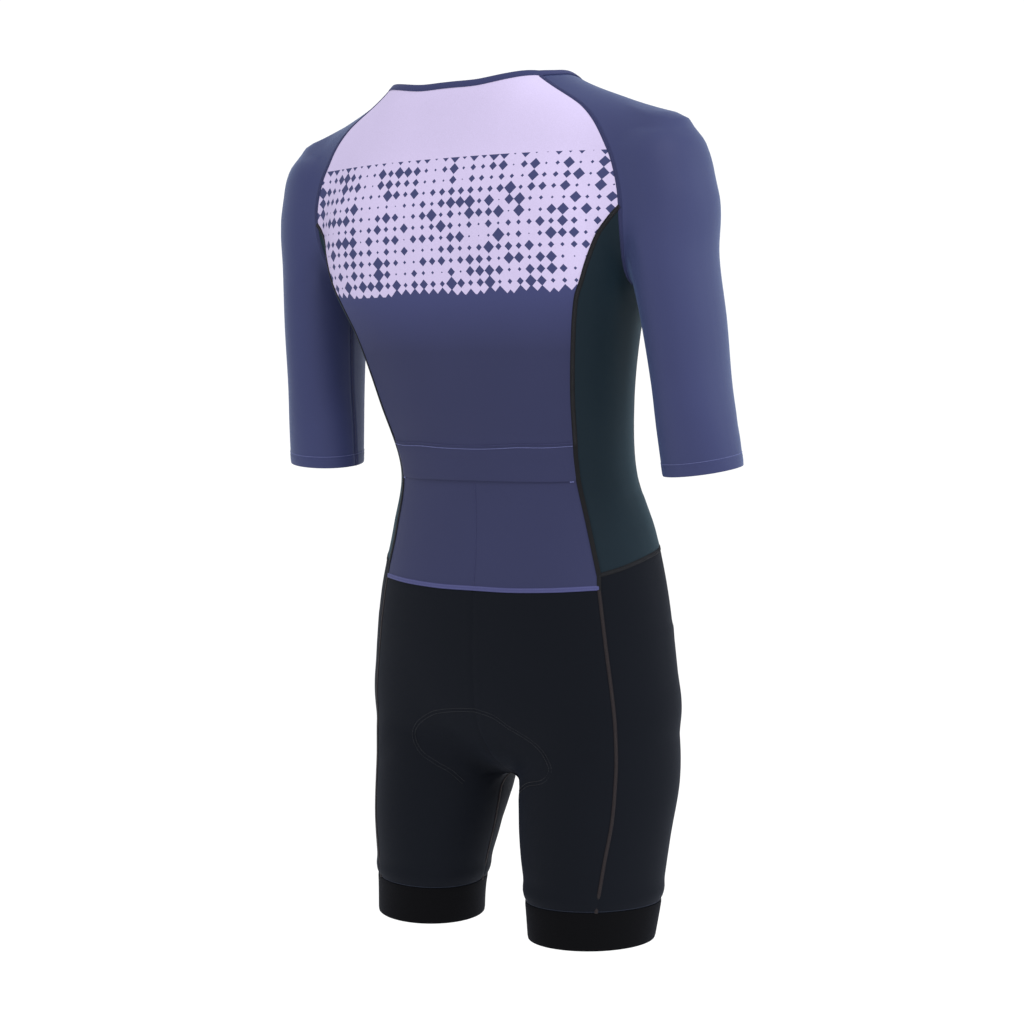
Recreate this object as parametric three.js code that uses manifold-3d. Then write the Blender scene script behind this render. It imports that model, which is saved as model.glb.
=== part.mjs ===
// A short-sleeved triathlon suit, worn shape with no wearer, in millimetres.
// +Z is up, the front faces -Y and the wearer's left is +X. The origin is the middle of the
// neck base, where the shoulders carry the suit.
import * as THREE from 'three';
import { mergeVertices } from 'three/addons/utils/BufferGeometryUtils.js';
import Module from 'manifold-3d';

const wasm = await Module();
wasm.setup();

// Cloth and seams
const WALL = 1.6;
const SEAM_GAP = 0.3;
const BINDING_WIDTH = 7;
const BINDING_WALL = 2.4;
const BINDING_LIFT = 0.4;
const GRIPPER_WALL = 2.2;
const GRIPPER_LIFT = 0.3;
const FLAP_TOP_Z = -350;
const FLAP_FULL_Z = -372;

// The pocket reaches up under the flap by this share of the flap's lowest row
const POCKET_TUCK = 0.55;
const HEM_Z = -860;
const CUFF_Z = -384;

// Front zip
const ZIP_WIDTH = 9;
const ZIP_WALL = 1.2;

// Zip slider and its pull tab, across, along and out from the zip
const SLIDER = { width: 8, length: 10, thickness: 2.6, nose: 2, shoulder: 1.4, waist: 1.2, foot: 1 };
const ARCH = { width: 2, length: 8, opening: 6, clearHeight: 2, bar: 0.9, rooted: 0.6 };
const TAB = {
  width: 5, length: 22, thickness: 1, bar: 0.9,
  windowWidth: 3, windowEnd: 5.2, tip: 2, corner: 1.4, taper: 0.3,
};

// The seat pad lies a little off the shorts, more so in front, and its points crowd towards the
// crotch's ridge
const PAD_CROWDING = 1.6;
const PAD_FRONT_EXTRA = 4;
const PAD_FRONT_Y = -40;
const PAD_FRONT_RAMP = 40;
const PAD_EDGE_THICKNESS = 1.5;
const PAD_SWELL = 3.5;
const PAD_CLEARANCE = 2.4;

// A table is a list of rows with named columns, read at any height
const sections = (columns, rows) => rows.map((row) =>
  Object.fromEntries(columns.map((name, i) => [name, row[i]])));

// Torso sections from the neck down to the crotch
const TORSO = sections(
  ['z', 'y', 'halfWidth', 'back', 'front', 'backSquare', 'frontSquare'],
  [
    [30, 3, 84, 58, 42, 2.0, 2.0],
    [0, 2, 85, 68, 52, 2.9, 2.0],
    [-20, 0, 105, 77, 60, 2.6, 2.0],
    [-45, -5, 147, 84, 70, 2.3, 2.0],
    [-80, -10, 166, 91, 84, 2.7, 2.1],
    [-130, -10, 176, 100, 104, 3.6, 2.1],
    [-190, -9, 169, 98, 114, 4.1, 2.1],
    [-250, -14, 152, 96, 110, 2.8, 2.1],
    [-320, -28, 138, 87, 102, 2.5, 2.1],
    [-390, -49, 130, 80, 97, 2.4, 2.1],
    [-450, -59, 147, 85, 102, 2.4, 2.1],
    [-520, -60, 163, 92, 105, 2.4, 2.1],
    [-590, -62, 170, 95, 104, 2.4, 2.1],
    [-640, -65, 168, 91, 97, 2.3, 2.1],
    [-674, -62, 134, 66, 72, 2.2, 2.1],
    [-692, -58, 80, 40, 44, 2.1, 2.0],
    [-703, -54, 24, 16, 16, 2.0, 2.0],
  ]);

// Arm sections from the shoulder cap to below the cuff
const ARM = sections(
  ['z', 'x', 'y', 'wide', 'deep'],
  [
    [-63, 203, 9, 8, 8],
    [-70, 204, 9, 19, 21],
    [-82, 203, 9, 29, 32],
    [-100, 205, 6, 36.5, 41.5],
    [-130, 209, 3, 44, 50],
    [-180, 210, 1, 40.5, 52.5],
    [-240, 217, -7, 37.5, 52],
    [-300, 222, -14, 35.5, 49],
    [-345, 226, -19, 38, 44],
    [-400, 231, -26, 40, 38],
  ]);

// Leg sections, ovals turned about their axis so the long way runs from inner back to outer front
const LEG_TURN = THREE.MathUtils.degToRad(40);
const LEG = sections(
  ['z', 'x', 'y', 'wide', 'deep'],
  [
    [-560, 84, -68, 70, 66],
    [-640, 89, -67, 84, 80],
    [-700, 94, -60, 78, 83],
    [-760, 97, -46, 69, 78],
    [-825, 100, -38, 58, 70],
    [-875, 99, -34, 56, 63],
  ]);

// The shoulder is a round bar from the neck base to the shoulder joint
const SHOULDER = { from: [72, 12, -41], to: [193, 3, -89], fromRadius: 44.5, toRadius: 45 };

// How softly neighbouring forms run into each other
const BLEND = { shoulder: 34, chest: 36, armpit: 19, crotch: 12, hip: 22 };

// The blend between chest and arm narrows from above this height down to the armpit
const ARMPIT_Z = -190;
const ARMPIT_RUN = 50;

// Seams of the wearer's left side, as points (x, y, z) that lie close to the surface
const RAGLAN_BACK = [
  [88, 46, -10], [133, 47, -36], [152, 51, -53], [169, 55, -82],
  [176, 56, -101], [180, 55, -120], [181, 54, -136],
];
const RAGLAN_FRONT = [
  [86, -34, -37], [116, -38, -56], [142, -42, -85], [158, -46, -118], [167, -47, -150],
];
const SIDE_BACK = [
  [181, 54, -136], [171, 56, -147], [161, 62, -164], [153, 66, -187], [147, 66, -205],
  [141, 65, -222], [129, 50, -267], [117, 32, -315], [109, 14, -360], [107, 10, -372],
];
const SIDE_POCKET = [[106, 3, -396], [116, 0, -441], [128, 0, -489]];
const SIDE_FRONT = [
  [167, -47, -150], [157, -56, -175], [146, -64, -215], [134, -68, -267],
  [118, -87, -354], [114, -100, -396], [124, -113, -441], [128, -116, -466],
];
const ARMHOLE_BACK = [
  [181, 54, -136], [180, 50, -151], [178, 43, -167], [174, 31, -183], [171, 18, -194], [167, 0, -203],
];
const ARMHOLE_FRONT = [[167, 0, -203], [168, -18, -198], [167, -32, -185], [167, -41, -168], [167, -47, -150]];
const NECK_BACK = [[0, 69, -17], [32, 67, -17], [62, 59, -14], [88, 46, -10]];
const NECK_SIDE = [[88, 46, -10], [95, 28, -13], [95, 6, -19], [92, -14, -27], [86, -34, -37]];
const NECK_FRONT = [[86, -34, -37], [70, -54, -52], [40, -74, -66], [0, -84, -72]];
const FRONT_EDGE = [
  [0, -84, -72], [0, -94, -90], [0, -110, -130], [0, -122, -190], [0, -124, -250],
  [0, -130, -320], [0, -146, -390], [0, -161, -450], [0, -162, -463],
];
const FLAP_EDGE = [[0, 29, -397], [50, 25, -397], [106, 3, -396]];
const WAIST_BACK = [[0, 31, -508], [43, 29, -508], [90, 20, -506], [130, 3, -503]];
const WAIST_SIDE = [[128, 0, -489], [143, -16, -483], [152, -40, -476], [146, -85, -469], [128, -116, -466]];
const WAIST_FRONT = [[128, -116, -466], [90, -142, -464], [45, -157, -463], [0, -162, -463]];
const FLATLOCK = [
  [130, 3, -503], [137, 3, -553], [145, 0, -619], [146, -3, -654], [146, -3, -685],
  [145, 2, -730], [140, 8, -770], [132, 11, -822],
];
const CENTRE_BACK = [
  [0, 31, -508], [0, 34, -568], [0, 28, -633], [0, 5, -680], [0, -25, -702], [0, -50, -706],
];
const CENTRE_FRONT = [
  [0, -162, -463], [0, -166, -560], [0, -158, -630], [0, -125, -680], [0, -85, -702], [0, -50, -706],
];
const INSEAM = [[0, -50, -706], [18, -46, -722], [28, -44, -760], [40, -40, -822]];
const PAD_EDGE = [
  [22, 28, -633], [46, 23, -644], [66, 18, -656], [80, 18, -670], [82, 18, -682],
  [66, 15, -693], [40, -5, -712], [20, -45, -734], [34, -95, -712], [44, -130, -682], [30, -150, -645],
];
const PAD_MIDDLE = [[0, 28, -631], [0, 20, -658], [0, 5, -680], [0, -25, -702], [0, -50, -706],
  [0, -85, -702], [0, -125, -680], [0, -155, -638]];

// Cells along each seam
const CELLS = {
  raglan: 7, armhole: 4, neckSide: 4, neckFront: 7, back: 8, sideBack: 10, pocket: 4,
  side: 8, waistFront: 7, centre: 12, inseam: 5, sleeve: 15, padAcross: 8, padAlong: 24,
};

// Vector helpers on plain arrays
const add = (a, b, s = 1) => [a[0] + s * b[0], a[1] + s * b[1], a[2] + s * b[2]];
const sub = (a, b) => add(a, b, -1);
const dot = (a, b) => a[0] * b[0] + a[1] * b[1] + a[2] * b[2];
const size = (a) => Math.sqrt(dot(a, a));
const unit = (a) => a.map((v) => v / (size(a) || 1));
const cross = (a, b) => [
  a[1] * b[2] - a[2] * b[1], a[2] * b[0] - a[0] * b[2], a[0] * b[1] - a[1] * b[0],
];
const mix = (a, b, t) => a.map((v, i) => v + (b[i] - v) * t);
const mirrored = (p) => [-p[0], p[1], p[2]];
const smooth = (t) => {
  const c = Math.min(1, Math.max(0, t));
  return c * c * (3 - 2 * c);
};

// A smooth curve through values[i] at knots[i], with the slope taken from the two neighbours
function throughKnots(knots, values, at) {
  const last = knots.length - 1;
  let i = 0;
  while (i < last - 1 && at > knots[i + 1]) i += 1;
  const slope = (k) => {
    const a = Math.max(0, k - 1);
    const b = Math.min(last, k + 1);
    return (values[b] - values[a]) / (knots[b] - knots[a]);
  };
  const h = knots[i + 1] - knots[i];
  const t = Math.min(1, Math.max(0, (at - knots[i]) / h));
  const t2 = t * t;
  const t3 = t2 * t;
  return (2 * t3 - 3 * t2 + 1) * values[i] + (t3 - 2 * t2 + t) * h * slope(i)
    + (3 * t2 - 2 * t3) * values[i + 1] + (t3 - t2) * h * slope(i + 1);
}

// A table as one function for each of its columns
function readable(table) {
  const depths = table.map((row) => -row.z);
  const read = {};
  for (const name of Object.keys(table[0])) {
    const values = table.map((row) => row[name]);
    read[name] = (z) => throughKnots(depths, values, -z);
  }
  return read;
}
const torso = readable(TORSO);
const arm = readable(ARM);
const leg = readable(LEG);

// Distance along the radius from a rounded-square outline
function fromOutline(x, y, a, b, square) {
  const radius = Math.hypot(x, y) + 1e-9;
  const scale = ((Math.abs(x) / a) ** square + (Math.abs(y) / b) ** square) ** (1 / square);
  return radius - radius / Math.max(scale, 1e-6);
}

function torsoDistance([x, y, z]) {
  const dy = y - torso.y(z);
  const depth = dy > 0 ? torso.back(z) : torso.front(z);
  const square = dy > 0 ? torso.backSquare(z) : torso.frontSquare(z);
  const bottom = TORSO[TORSO.length - 1].z;
  return Math.max(fromOutline(x, dy, torso.halfWidth(z), depth, square), bottom - z);
}

function armDistance([x, y, z]) {
  const d = fromOutline(x - arm.x(z), y - arm.y(z), arm.wide(z), arm.deep(z), 2);
  return Math.max(d, z - ARM[0].z, ARM[ARM.length - 1].z - z);
}

function legDistance([x, y, z]) {
  const dx = x - leg.x(z);
  const dy = y - leg.y(z);
  const across = dx * Math.cos(LEG_TURN) + dy * Math.sin(LEG_TURN);
  const along = -dx * Math.sin(LEG_TURN) + dy * Math.cos(LEG_TURN);
  return Math.max(fromOutline(across, along, leg.wide(z), leg.deep(z), 2), z - LEG[0].z);
}

function shoulderDistance(p) {
  const bar = sub(SHOULDER.to, SHOULDER.from);
  const t = Math.min(1, Math.max(0, dot(sub(p, SHOULDER.from), bar) / dot(bar, bar)));
  const radius = SHOULDER.fromRadius + (SHOULDER.toRadius - SHOULDER.fromRadius) * t;
  return size(sub(p, add(SHOULDER.from, bar, t))) - radius;
}

function blend(a, b, width) {
  const h = Math.max(width - Math.abs(a - b), 0) / width;
  return Math.min(a, b) - h * h * width / 4;
}

// Distance from the worn surface: below zero inside the body of air that the suit holds
function surface([px, y, z]) {
  const p = [Math.abs(px), y, z];
  const upper = blend(shoulderDistance(p), armDistance(p), BLEND.shoulder);
  const legs = blend(legDistance(p), legDistance(mirrored(p)), BLEND.crotch);
  const width = BLEND.armpit + (BLEND.chest - BLEND.armpit) * smooth((z - ARMPIT_Z) / ARMPIT_RUN);
  return blend(blend(torsoDistance(p), upper, width), legs, BLEND.hip);
}

function slopeAt(p) {
  const h = 0.5;
  return [[h, 0, 0], [0, h, 0], [0, 0, h]].map((e) => (surface(add(p, e)) - surface(sub(p, e))) / (2 * h));
}
const outward = (p) => unit(slopeAt(p));

// Moves a point onto the surface, a few steps along the slope
function settle(start) {
  let p = start;
  for (let i = 0; i < 9; i += 1) {
    const g = slopeAt(p);
    const step = surface(p) / Math.max(dot(g, g), 0.2);
    p = add(p, g, -Math.min(12, Math.max(-12, step)));
  }
  return p;
}

// A seam as evenly spaced points on the surface, count cells long
function seam(points, count) {
  const knots = [0];
  for (let i = 1; i < points.length; i += 1) knots.push(knots[i - 1] + size(sub(points[i], points[i - 1])));
  const total = knots[knots.length - 1];
  const fine = [];
  const steps = 24 * (points.length - 1);
  for (let i = 0; i <= steps; i += 1) {
    fine.push([0, 1, 2].map((axis) => throughKnots(knots, points.map((p) => p[axis]), total * i / steps)));
  }
  const run = [0];
  for (let i = 1; i < fine.length; i += 1) run.push(run[i - 1] + size(sub(fine[i], fine[i - 1])));
  const result = [];
  for (let i = 0; i <= count; i += 1) {
    const target = run[run.length - 1] * i / count;
    let k = 1;
    while (k < run.length - 1 && run[k] < target) k += 1;
    const t = (target - run[k - 1]) / (run[k] - run[k - 1] || 1);
    const p = settle(mix(fine[k - 1], fine[k], t));
    const onMiddle = Math.abs(mix(fine[k - 1], fine[k], t)[0]) < 1e-6;
    result.push(onMiddle ? [0, p[1], p[2]] : p);
  }
  return result;
}
const joined = (...parts) => parts.reduce((all, part) => all.concat(all.length ? part.slice(1) : part), []);
const reversed = (points) => [...points].reverse();

// Charts turn a point into (angle, height, radius) about an axis, and back
const uprightChart = (axis) => ({
  to: (p, near = 0) => {
    const [ax, ay] = axis(p[2]);
    let angle = Math.atan2(p[1] - ay, p[0] - ax);
    while (angle - near > Math.PI) angle -= 2 * Math.PI;
    while (near - angle > Math.PI) angle += 2 * Math.PI;
    return [angle, p[2], Math.hypot(p[0] - ax, p[1] - ay)];
  },
  from: ([angle, z, radius]) => {
    const [ax, ay] = axis(z);
    return [ax + radius * Math.cos(angle), ay + radius * Math.sin(angle), z];
  },
});
const torsoChart = uprightChart((z) => [0, torso.y(z)]);
const legChart = uprightChart((z) => [leg.x(z), leg.y(z)]);

// The sleeve's axis bends from the shoulder into the arm
const SLEEVE_AXIS = [
  [70, 8, -44], [120, 10, -60], [163, 11, -84], [193, 9, -118], [208, 5, -160],
  [216, -2, -230], [222, -13, -300], [230, -24, -385], [233, -29, -420],
];
const axisPoints = (() => {
  const knots = SLEEVE_AXIS.map((p, i) => i);
  const fine = [];
  const steps = 60 * (knots.length - 1);
  for (let i = 0; i <= steps; i += 1) {
    const at = (knots.length - 1) * i / steps;
    fine.push([0, 1, 2].map((axis) => throughKnots(knots, SLEEVE_AXIS.map((p) => p[axis]), at)));
  }
  return fine;
})();
function axisFrame(s) {
  const i = Math.min(axisPoints.length - 2, Math.max(0, Math.floor(s)));
  const point = mix(axisPoints[i], axisPoints[i + 1], s - i);
  const a = axisPoints[Math.max(0, i - 6)];
  const b = axisPoints[Math.min(axisPoints.length - 1, i + 7)];
  const along = unit(sub(b, a));
  const back = unit(add([0, 1, 0], along, -along[1]));
  const top = cross(along, back);
  return { point, along, back, top };
}
const sleeveChart = {
  to: (p, near = 0) => {
    let best = null;
    for (let i = 0; i < axisPoints.length - 1; i += 1) {
      const a = axisFrame(i);
      const b = axisFrame(i + 1);
      const da = dot(sub(p, a.point), a.along);
      const db = dot(sub(p, b.point), b.along);
      const distance = size(sub(p, a.point));
      const closer = !best || distance < best.distance;
      if (da >= 0 && db < 0 && closer) best = { s: i + da / (da - db), distance };
    }
    if (!best) throw new Error(`no place along the sleeve for ${p.map((v) => v.toFixed(1))}`);
    const frame = axisFrame(best.s);
    const d = sub(p, frame.point);
    let angle = Math.atan2(dot(d, frame.back), dot(d, frame.top));
    while (angle - near > Math.PI) angle -= 2 * Math.PI;
    while (near - angle > Math.PI) angle += 2 * Math.PI;
    return [angle, best.s, size(d)];
  },
  from: ([angle, s, radius]) => {
    const frame = axisFrame(s);
    const around = add(frame.top.map((v) => v * Math.cos(angle)), frame.back, Math.sin(angle));
    return add(frame.point, around, radius);
  },
};

// Boundary points in chart values, with the angle followed along without a jump
function charted(points, chart, startNear) {
  const result = [];
  points.forEach((p, i) => result.push(chart.to(p, i ? result[i - 1][0] : startNear)));
  return result;
}

// A panel's outer points: rows from top to bottom, columns from left to right, filled in
// from its four sides in chart values and settled on the surface
function fill({ top, bottom, left, right }, chart, near) {
  const rows = left.length - 1;
  const columns = top.length - 1;
  const t = charted(top, chart, near);
  const l = charted(left, chart, t[0][0]);
  const r = charted(right, chart, t[columns][0]);
  const b = charted(bottom, chart, l[rows][0]);
  const grid = [];
  for (let j = 0; j <= rows; j += 1) {
    const row = [];
    for (let i = 0; i <= columns; i += 1) {
      if (j === 0) row.push(top[i]);
      else if (j === rows) row.push(bottom[i]);
      else if (i === 0) row.push(left[j]);
      else if (i === columns) row.push(right[j]);
      else {
        const u = i / columns;
        const v = j / rows;
        const value = [0, 1, 2].map((k) => {
          const acrossRow = (1 - u) * l[j][k] + u * r[j][k];
          const downColumn = (1 - v) * t[i][k] + v * b[i][k];
          const corners = (1 - v) * ((1 - u) * t[0][k] + u * t[columns][k])
            + v * ((1 - u) * b[0][k] + u * b[columns][k]);
          return acrossRow + downColumn - corners;
        });
        row.push(settle(chart.from(value)));
      }
    }
    grid.push(row);
  }
  return grid;
}

// Pulls a grid's edges back by half the seam gap, so that neighbours stay apart
function trimmed(grid, sides = 'tblr') {
  const rows = grid.length - 1;
  const columns = grid[0].length - 1;
  const moved = grid.map((row) => row.map((p) => [...p]));
  const pull = (j, i, nj, ni, aj, ai, bj, bi) => {
    const inwards = sub(grid[nj][ni], grid[j][i]);
    const tangent = unit(sub(grid[bj][bi], grid[aj][ai]));
    const square = unit(add(inwards, tangent, -dot(inwards, tangent)));
    moved[j][i] = add(moved[j][i], square, SEAM_GAP / 2);
  };
  for (let i = 0; i <= columns; i += 1) {
    const a = Math.max(0, i - 1);
    const b = Math.min(columns, i + 1);
    if (sides.includes('t')) pull(0, i, 1, i, 0, a, 0, b);
    if (sides.includes('b')) pull(rows, i, rows - 1, i, rows, a, rows, b);
  }
  for (let j = 0; j <= rows; j += 1) {
    const a = Math.max(0, j - 1);
    const b = Math.min(rows, j + 1);
    if (sides.includes('l')) pull(j, 0, j, 1, a, 0, b, 0);
    if (sides.includes('r')) pull(j, columns, j, columns - 1, a, columns, b, columns);
  }
  return moved;
}

// A closed wall between two grids of points, the first one outside
function wallBetween(outer, inner, closed = false) {
  const rows = outer.length;
  const columns = outer[0].length;
  const positions = [...outer.flat(), ...inner.flat()];
  const at = (side, j, i) => side * rows * columns + j * columns + (i % columns);
  const faces = [];
  const quad = (a, b, c, d) => faces.push([a, b, c], [a, c, d]);
  const lastColumn = closed ? columns : columns - 1;
  for (let j = 0; j < rows - 1; j += 1) {
    for (let i = 0; i < lastColumn; i += 1) {
      quad(at(0, j, i), at(0, j + 1, i), at(0, j + 1, i + 1), at(0, j, i + 1));
      quad(at(1, j, i), at(1, j, i + 1), at(1, j + 1, i + 1), at(1, j + 1, i));
    }
  }
  for (let i = 0; i < lastColumn; i += 1) {
    quad(at(0, 0, i), at(0, 0, i + 1), at(1, 0, i + 1), at(1, 0, i));
    quad(at(0, rows - 1, i), at(1, rows - 1, i), at(1, rows - 1, i + 1), at(0, rows - 1, i + 1));
  }
  if (!closed) {
    for (let j = 0; j < rows - 1; j += 1) {
      quad(at(0, j, 0), at(1, j, 0), at(1, j + 1, 0), at(0, j + 1, 0));
      const last = columns - 1;
      quad(at(0, j, last), at(0, j + 1, last), at(1, j + 1, last), at(1, j, last));
    }
  }
  return facing(positions, faces);
}

// Turns all faces round where the closed mesh would have its inside out
function facing(positions, faces) {
  const volume = faces.reduce((sum, [a, b, c]) =>
    sum + dot(positions[a], cross(positions[b], positions[c])) / 6, 0);
  const turned = volume < 0 ? faces.map(([a, b, c]) => [a, c, b]) : faces;
  const geometry = new THREE.BufferGeometry();
  geometry.setAttribute('position', new THREE.Float32BufferAttribute(positions.flat(), 3));
  geometry.setIndex(turned.flat());
  geometry.computeVertexNormals();
  return geometry;
}

const offset = (grid, distance) => grid.map((row) => row.map((p) => add(p, outward(p), distance)));

// A cloth wall with its outer face lifted off the surface by lift(p) and its given thickness
function cloth(grid, { thickness = WALL, lift = () => 0 } = {}) {
  const outer = grid.map((row) => row.map((p) => add(p, outward(p), lift(p))));
  const inner = grid.map((row) => row.map((p) => add(p, outward(p), lift(p) - thickness)));
  return wallBetween(outer, inner);
}

function mirrorGeometry(geometry) {
  const p = geometry.getAttribute('position');
  const positions = [];
  for (let i = 0; i < p.count; i += 1) positions.push([-p.getX(i), p.getY(i), p.getZ(i)]);
  const index = geometry.getIndex().array;
  const faces = [];
  for (let i = 0; i < index.length; i += 3) faces.push([index[i], index[i + 2], index[i + 1]]);
  return facing(positions, faces);
}

// Seams, sampled once and shared by the panels on both their sides
const raglanBack = seam(RAGLAN_BACK, CELLS.raglan);
const raglanFront = seam(RAGLAN_FRONT, CELLS.raglan);
const sideBack = seam(SIDE_BACK, CELLS.sideBack);
const sideFlap = seam([SIDE_BACK[SIDE_BACK.length - 1], SIDE_POCKET[0]], 1);
const sidePocket = seam(SIDE_POCKET, CELLS.pocket);
const sideCorner = seam([SIDE_POCKET[2], FLATLOCK[0]], 1);
const sideFront = seam(SIDE_FRONT, CELLS.sideBack + 1 + CELLS.pocket);
const armholeBack = seam(ARMHOLE_BACK, CELLS.armhole);
const armholeFront = seam(ARMHOLE_FRONT, CELLS.armhole);
const neckBack = seam(NECK_BACK, CELLS.back);
const neckSide = seam(NECK_SIDE, CELLS.neckSide);
const waistBack = seam(WAIST_BACK, CELLS.back);
const waistSide = seam(WAIST_SIDE, CELLS.side);
const flatlock = seam(FLATLOCK, CELLS.centre + CELLS.inseam);
const centreBack = seam(CENTRE_BACK, CELLS.centre);
const centreFront = seam(CENTRE_FRONT, CELLS.centre + 1);
const inseam = seam(INSEAM, CELLS.inseam);

// The front edge runs beside the zip, half a zip width from the middle
const besideZip = (p) => settle([ZIP_WIDTH / 2, p[1], p[2]]);
const frontEdge = seam(FRONT_EDGE, CELLS.raglan + sideFront.length - 1).map(besideZip);
const toZip = (points) => points.map((p, i) => (i === points.length - 1 ? [ZIP_WIDTH / 2, p[1], p[2]] : p));
const neckFront = seam(toZip(NECK_FRONT), CELLS.neckFront);
neckFront[CELLS.neckFront] = frontEdge[0];
const waistFront = seam(toZip(WAIST_FRONT), CELLS.waistFront);
waistFront[CELLS.waistFront] = frontEdge[frontEdge.length - 1];

const wholeWidth = (half) => joined(reversed(half).map(mirrored), half);
const backSide = joined(raglanBack, sideBack, sideFlap);

const flapEdge = seam(FLAP_EDGE, CELLS.back);
const backUpperGrid = fill({
  top: wholeWidth(neckBack), bottom: wholeWidth(flapEdge), left: backSide.map(mirrored), right: backSide,
}, torsoChart, Math.PI * 0.8);
const flapLift = (p) => (WALL + SEAM_GAP) * smooth((FLAP_TOP_Z - p[2]) / (FLAP_TOP_Z - FLAP_FULL_Z));

// The pocket starts under the flap, on the flap's own points
function backPocketGrid() {
  const side = joined(sidePocket, sideCorner);
  const grid = fill({
    top: wholeWidth(flapEdge), bottom: wholeWidth(waistBack), left: side.map(mirrored), right: side,
  }, torsoChart, Math.PI * 0.8);
  const [above, edge] = backUpperGrid.slice(-2);
  return [edge.map((p, i) => mix(p, above[i], POCKET_TUCK)), ...grid];
}

const sideGrid = () => fill({
  top: joined(armholeBack, armholeFront), bottom: waistSide,
  left: joined(sideBack, sideFlap, sidePocket), right: sideFront,
}, torsoChart, 0);

const frontGrid = () => fill({
  top: neckFront, bottom: waistFront, left: joined(raglanFront, sideFront), right: frontEdge,
}, torsoChart, -Math.PI * 0.3);

const shortsBackGrid = () => fill({
  top: waistBack, bottom: gripperTop.slice(0, CELLS.back + 1),
  left: joined(centreBack, inseam), right: flatlock,
}, legChart, Math.PI * 0.7);

const shortsFrontGrid = () => {
  const middle = [centreFront[0]];
  return fill({
    top: [...joined(waistSide, waistFront), ...middle], bottom: gripperTop.slice(CELLS.back),
    left: joined(sideCorner, flatlock), right: joined(centreFront, inseam),
  }, legChart, 0.3);
};

// The gripper's top seam, once round the leg from the inseam over the back to the inseam
const frontColumns = CELLS.side + CELLS.waistFront + 1;
const gripperTop = (() => {
  const start = legChart.to(INSEAM[3], Math.PI);
  const flat = legChart.to(FLATLOCK[7], Math.PI / 4);
  const at = (angle) => settle(legChart.from([angle, FLATLOCK[7][2], start[2]]));
  const points = [];
  for (let i = 0; i < CELLS.back; i += 1) points.push(at(start[0] + (flat[0] - start[0]) * i / CELLS.back));
  const rest = start[0] - 2 * Math.PI;
  for (let i = 0; i <= frontColumns; i += 1) points.push(at(flat[0] + (rest - flat[0]) * i / frontColumns));
  points[0] = inseam[CELLS.inseam];
  points[CELLS.back] = flatlock[flatlock.length - 1];
  points[points.length - 1] = inseam[CELLS.inseam];
  return points;
})();

function gripperGrid() {
  const low = gripperTop.map((p) => settle([p[0], p[1], HEM_Z]));
  return [gripperTop.slice(0, -1), low.slice(0, -1)];
}

function sleeveGrid() {
  const top = joined(
    reversed(armholeBack), reversed(raglanBack), neckSide, raglanFront, reversed(armholeFront));
  const columns = top.length - 1;
  const cuffAt = sleeveChart.to([230, -24, CUFF_Z], 0)[1];
  const cuff = [];
  for (let i = 0; i <= columns; i += 1) {
    cuff.push(settle(sleeveChart.from([Math.PI * (1 - 2 * i / columns), cuffAt, 38])));
  }
  const armpit = sleeveChart.to(top[0], Math.PI);
  const under = [];
  for (let j = 0; j <= CELLS.sleeve; j += 1) {
    const s = armpit[1] + (cuffAt - armpit[1]) * j / CELLS.sleeve;
    under.push(settle(sleeveChart.from([Math.PI, s, 40])));
  }
  under[0] = top[0];
  return fill({ top, bottom: cuff, left: under, right: under }, sleeveChart, Math.PI);
}

// The neck binding goes from one front edge round the back to the other
function bindingGrid() {
  const half = joined(reversed(neckFront), reversed(neckSide), reversed(neckBack));
  const low = joined(half, reversed(half).map(mirrored));
  const high = low.map((p, i) => {
    const before = low[Math.max(0, i - 1)];
    const after = low[Math.min(low.length - 1, i + 1)];
    const rise = unit(cross(outward(p), sub(after, before)));
    const up = rise[2] > 0 ? rise : rise.map((v) => -v);
    return settle(add(p, up, BINDING_WIDTH));
  });
  return [high, low];
}

function zipGrid() {
  return frontEdge.map((p) => [mirrored(p), p]);
}

function padGrid() {
  const edge = seam(PAD_EDGE, CELLS.padAlong);
  const middle = seam(PAD_MIDDLE, CELLS.padAlong);
  const half = CELLS.padAcross / 2;
  return middle.map((m, j) => {
    const row = [];
    for (let i = -half; i <= half; i += 1) {
      const side = i < 0 ? mirrored(edge[j]) : edge[j];
      row.push(settle(mix(m, side, (Math.abs(i) / half) ** PAD_CROWDING)));
    }
    return row;
  });
}

// The seat pad lies inside the shorts, thin at its edge
function padGeometry() {
  const grid = padGrid();
  const depth = (p) => WALL + PAD_CLEARANCE + PAD_FRONT_EXTRA * smooth((PAD_FRONT_Y - p[1]) / PAD_FRONT_RAMP);
  const rows = grid.length - 1;
  const columns = grid[0].length - 1;
  const outer = grid.map((row) => row.map((p) => add(p, outward(p), -depth(p))));
  const inner = grid.map((row, j) => row.map((p, i) => {
    const across = Math.sin(Math.PI * i / columns);
    const along = Math.sin(Math.PI * j / rows);
    return add(p, outward(p), -depth(p) - PAD_EDGE_THICKNESS - PAD_SWELL * Math.sqrt(across * along));
  }));
  return wallBetween(outer, inner);
}

// Materials
const fabric = (colour) => new THREE.MeshStandardMaterial({ color: colour, roughness: 0.8, metalness: 0 });
const navy = fabric('#3c3c5c');
const sleeveNavy = fabric('#42466e');
const sideTeal = fabric('#1c2830');
const black = fabric('#14161a');
const blackBand = fabric('#0c0d10');
const foam = fabric('#202226');
const hardware = new THREE.MeshStandardMaterial({ color: '#1a1a1e', roughness: 0.45, metalness: 0.1 });

const suit = new THREE.Group();
const place = (name, geometry, material) => {
  const mesh = new THREE.Mesh(geometry, material);
  mesh.name = name;
  suit.add(mesh);
  return mesh;
};
const placePair = (name, geometry, material) => {
  place(`${name}_left`, geometry, material);
  place(`${name}_right`, mirrorGeometry(geometry), material);
};

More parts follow.
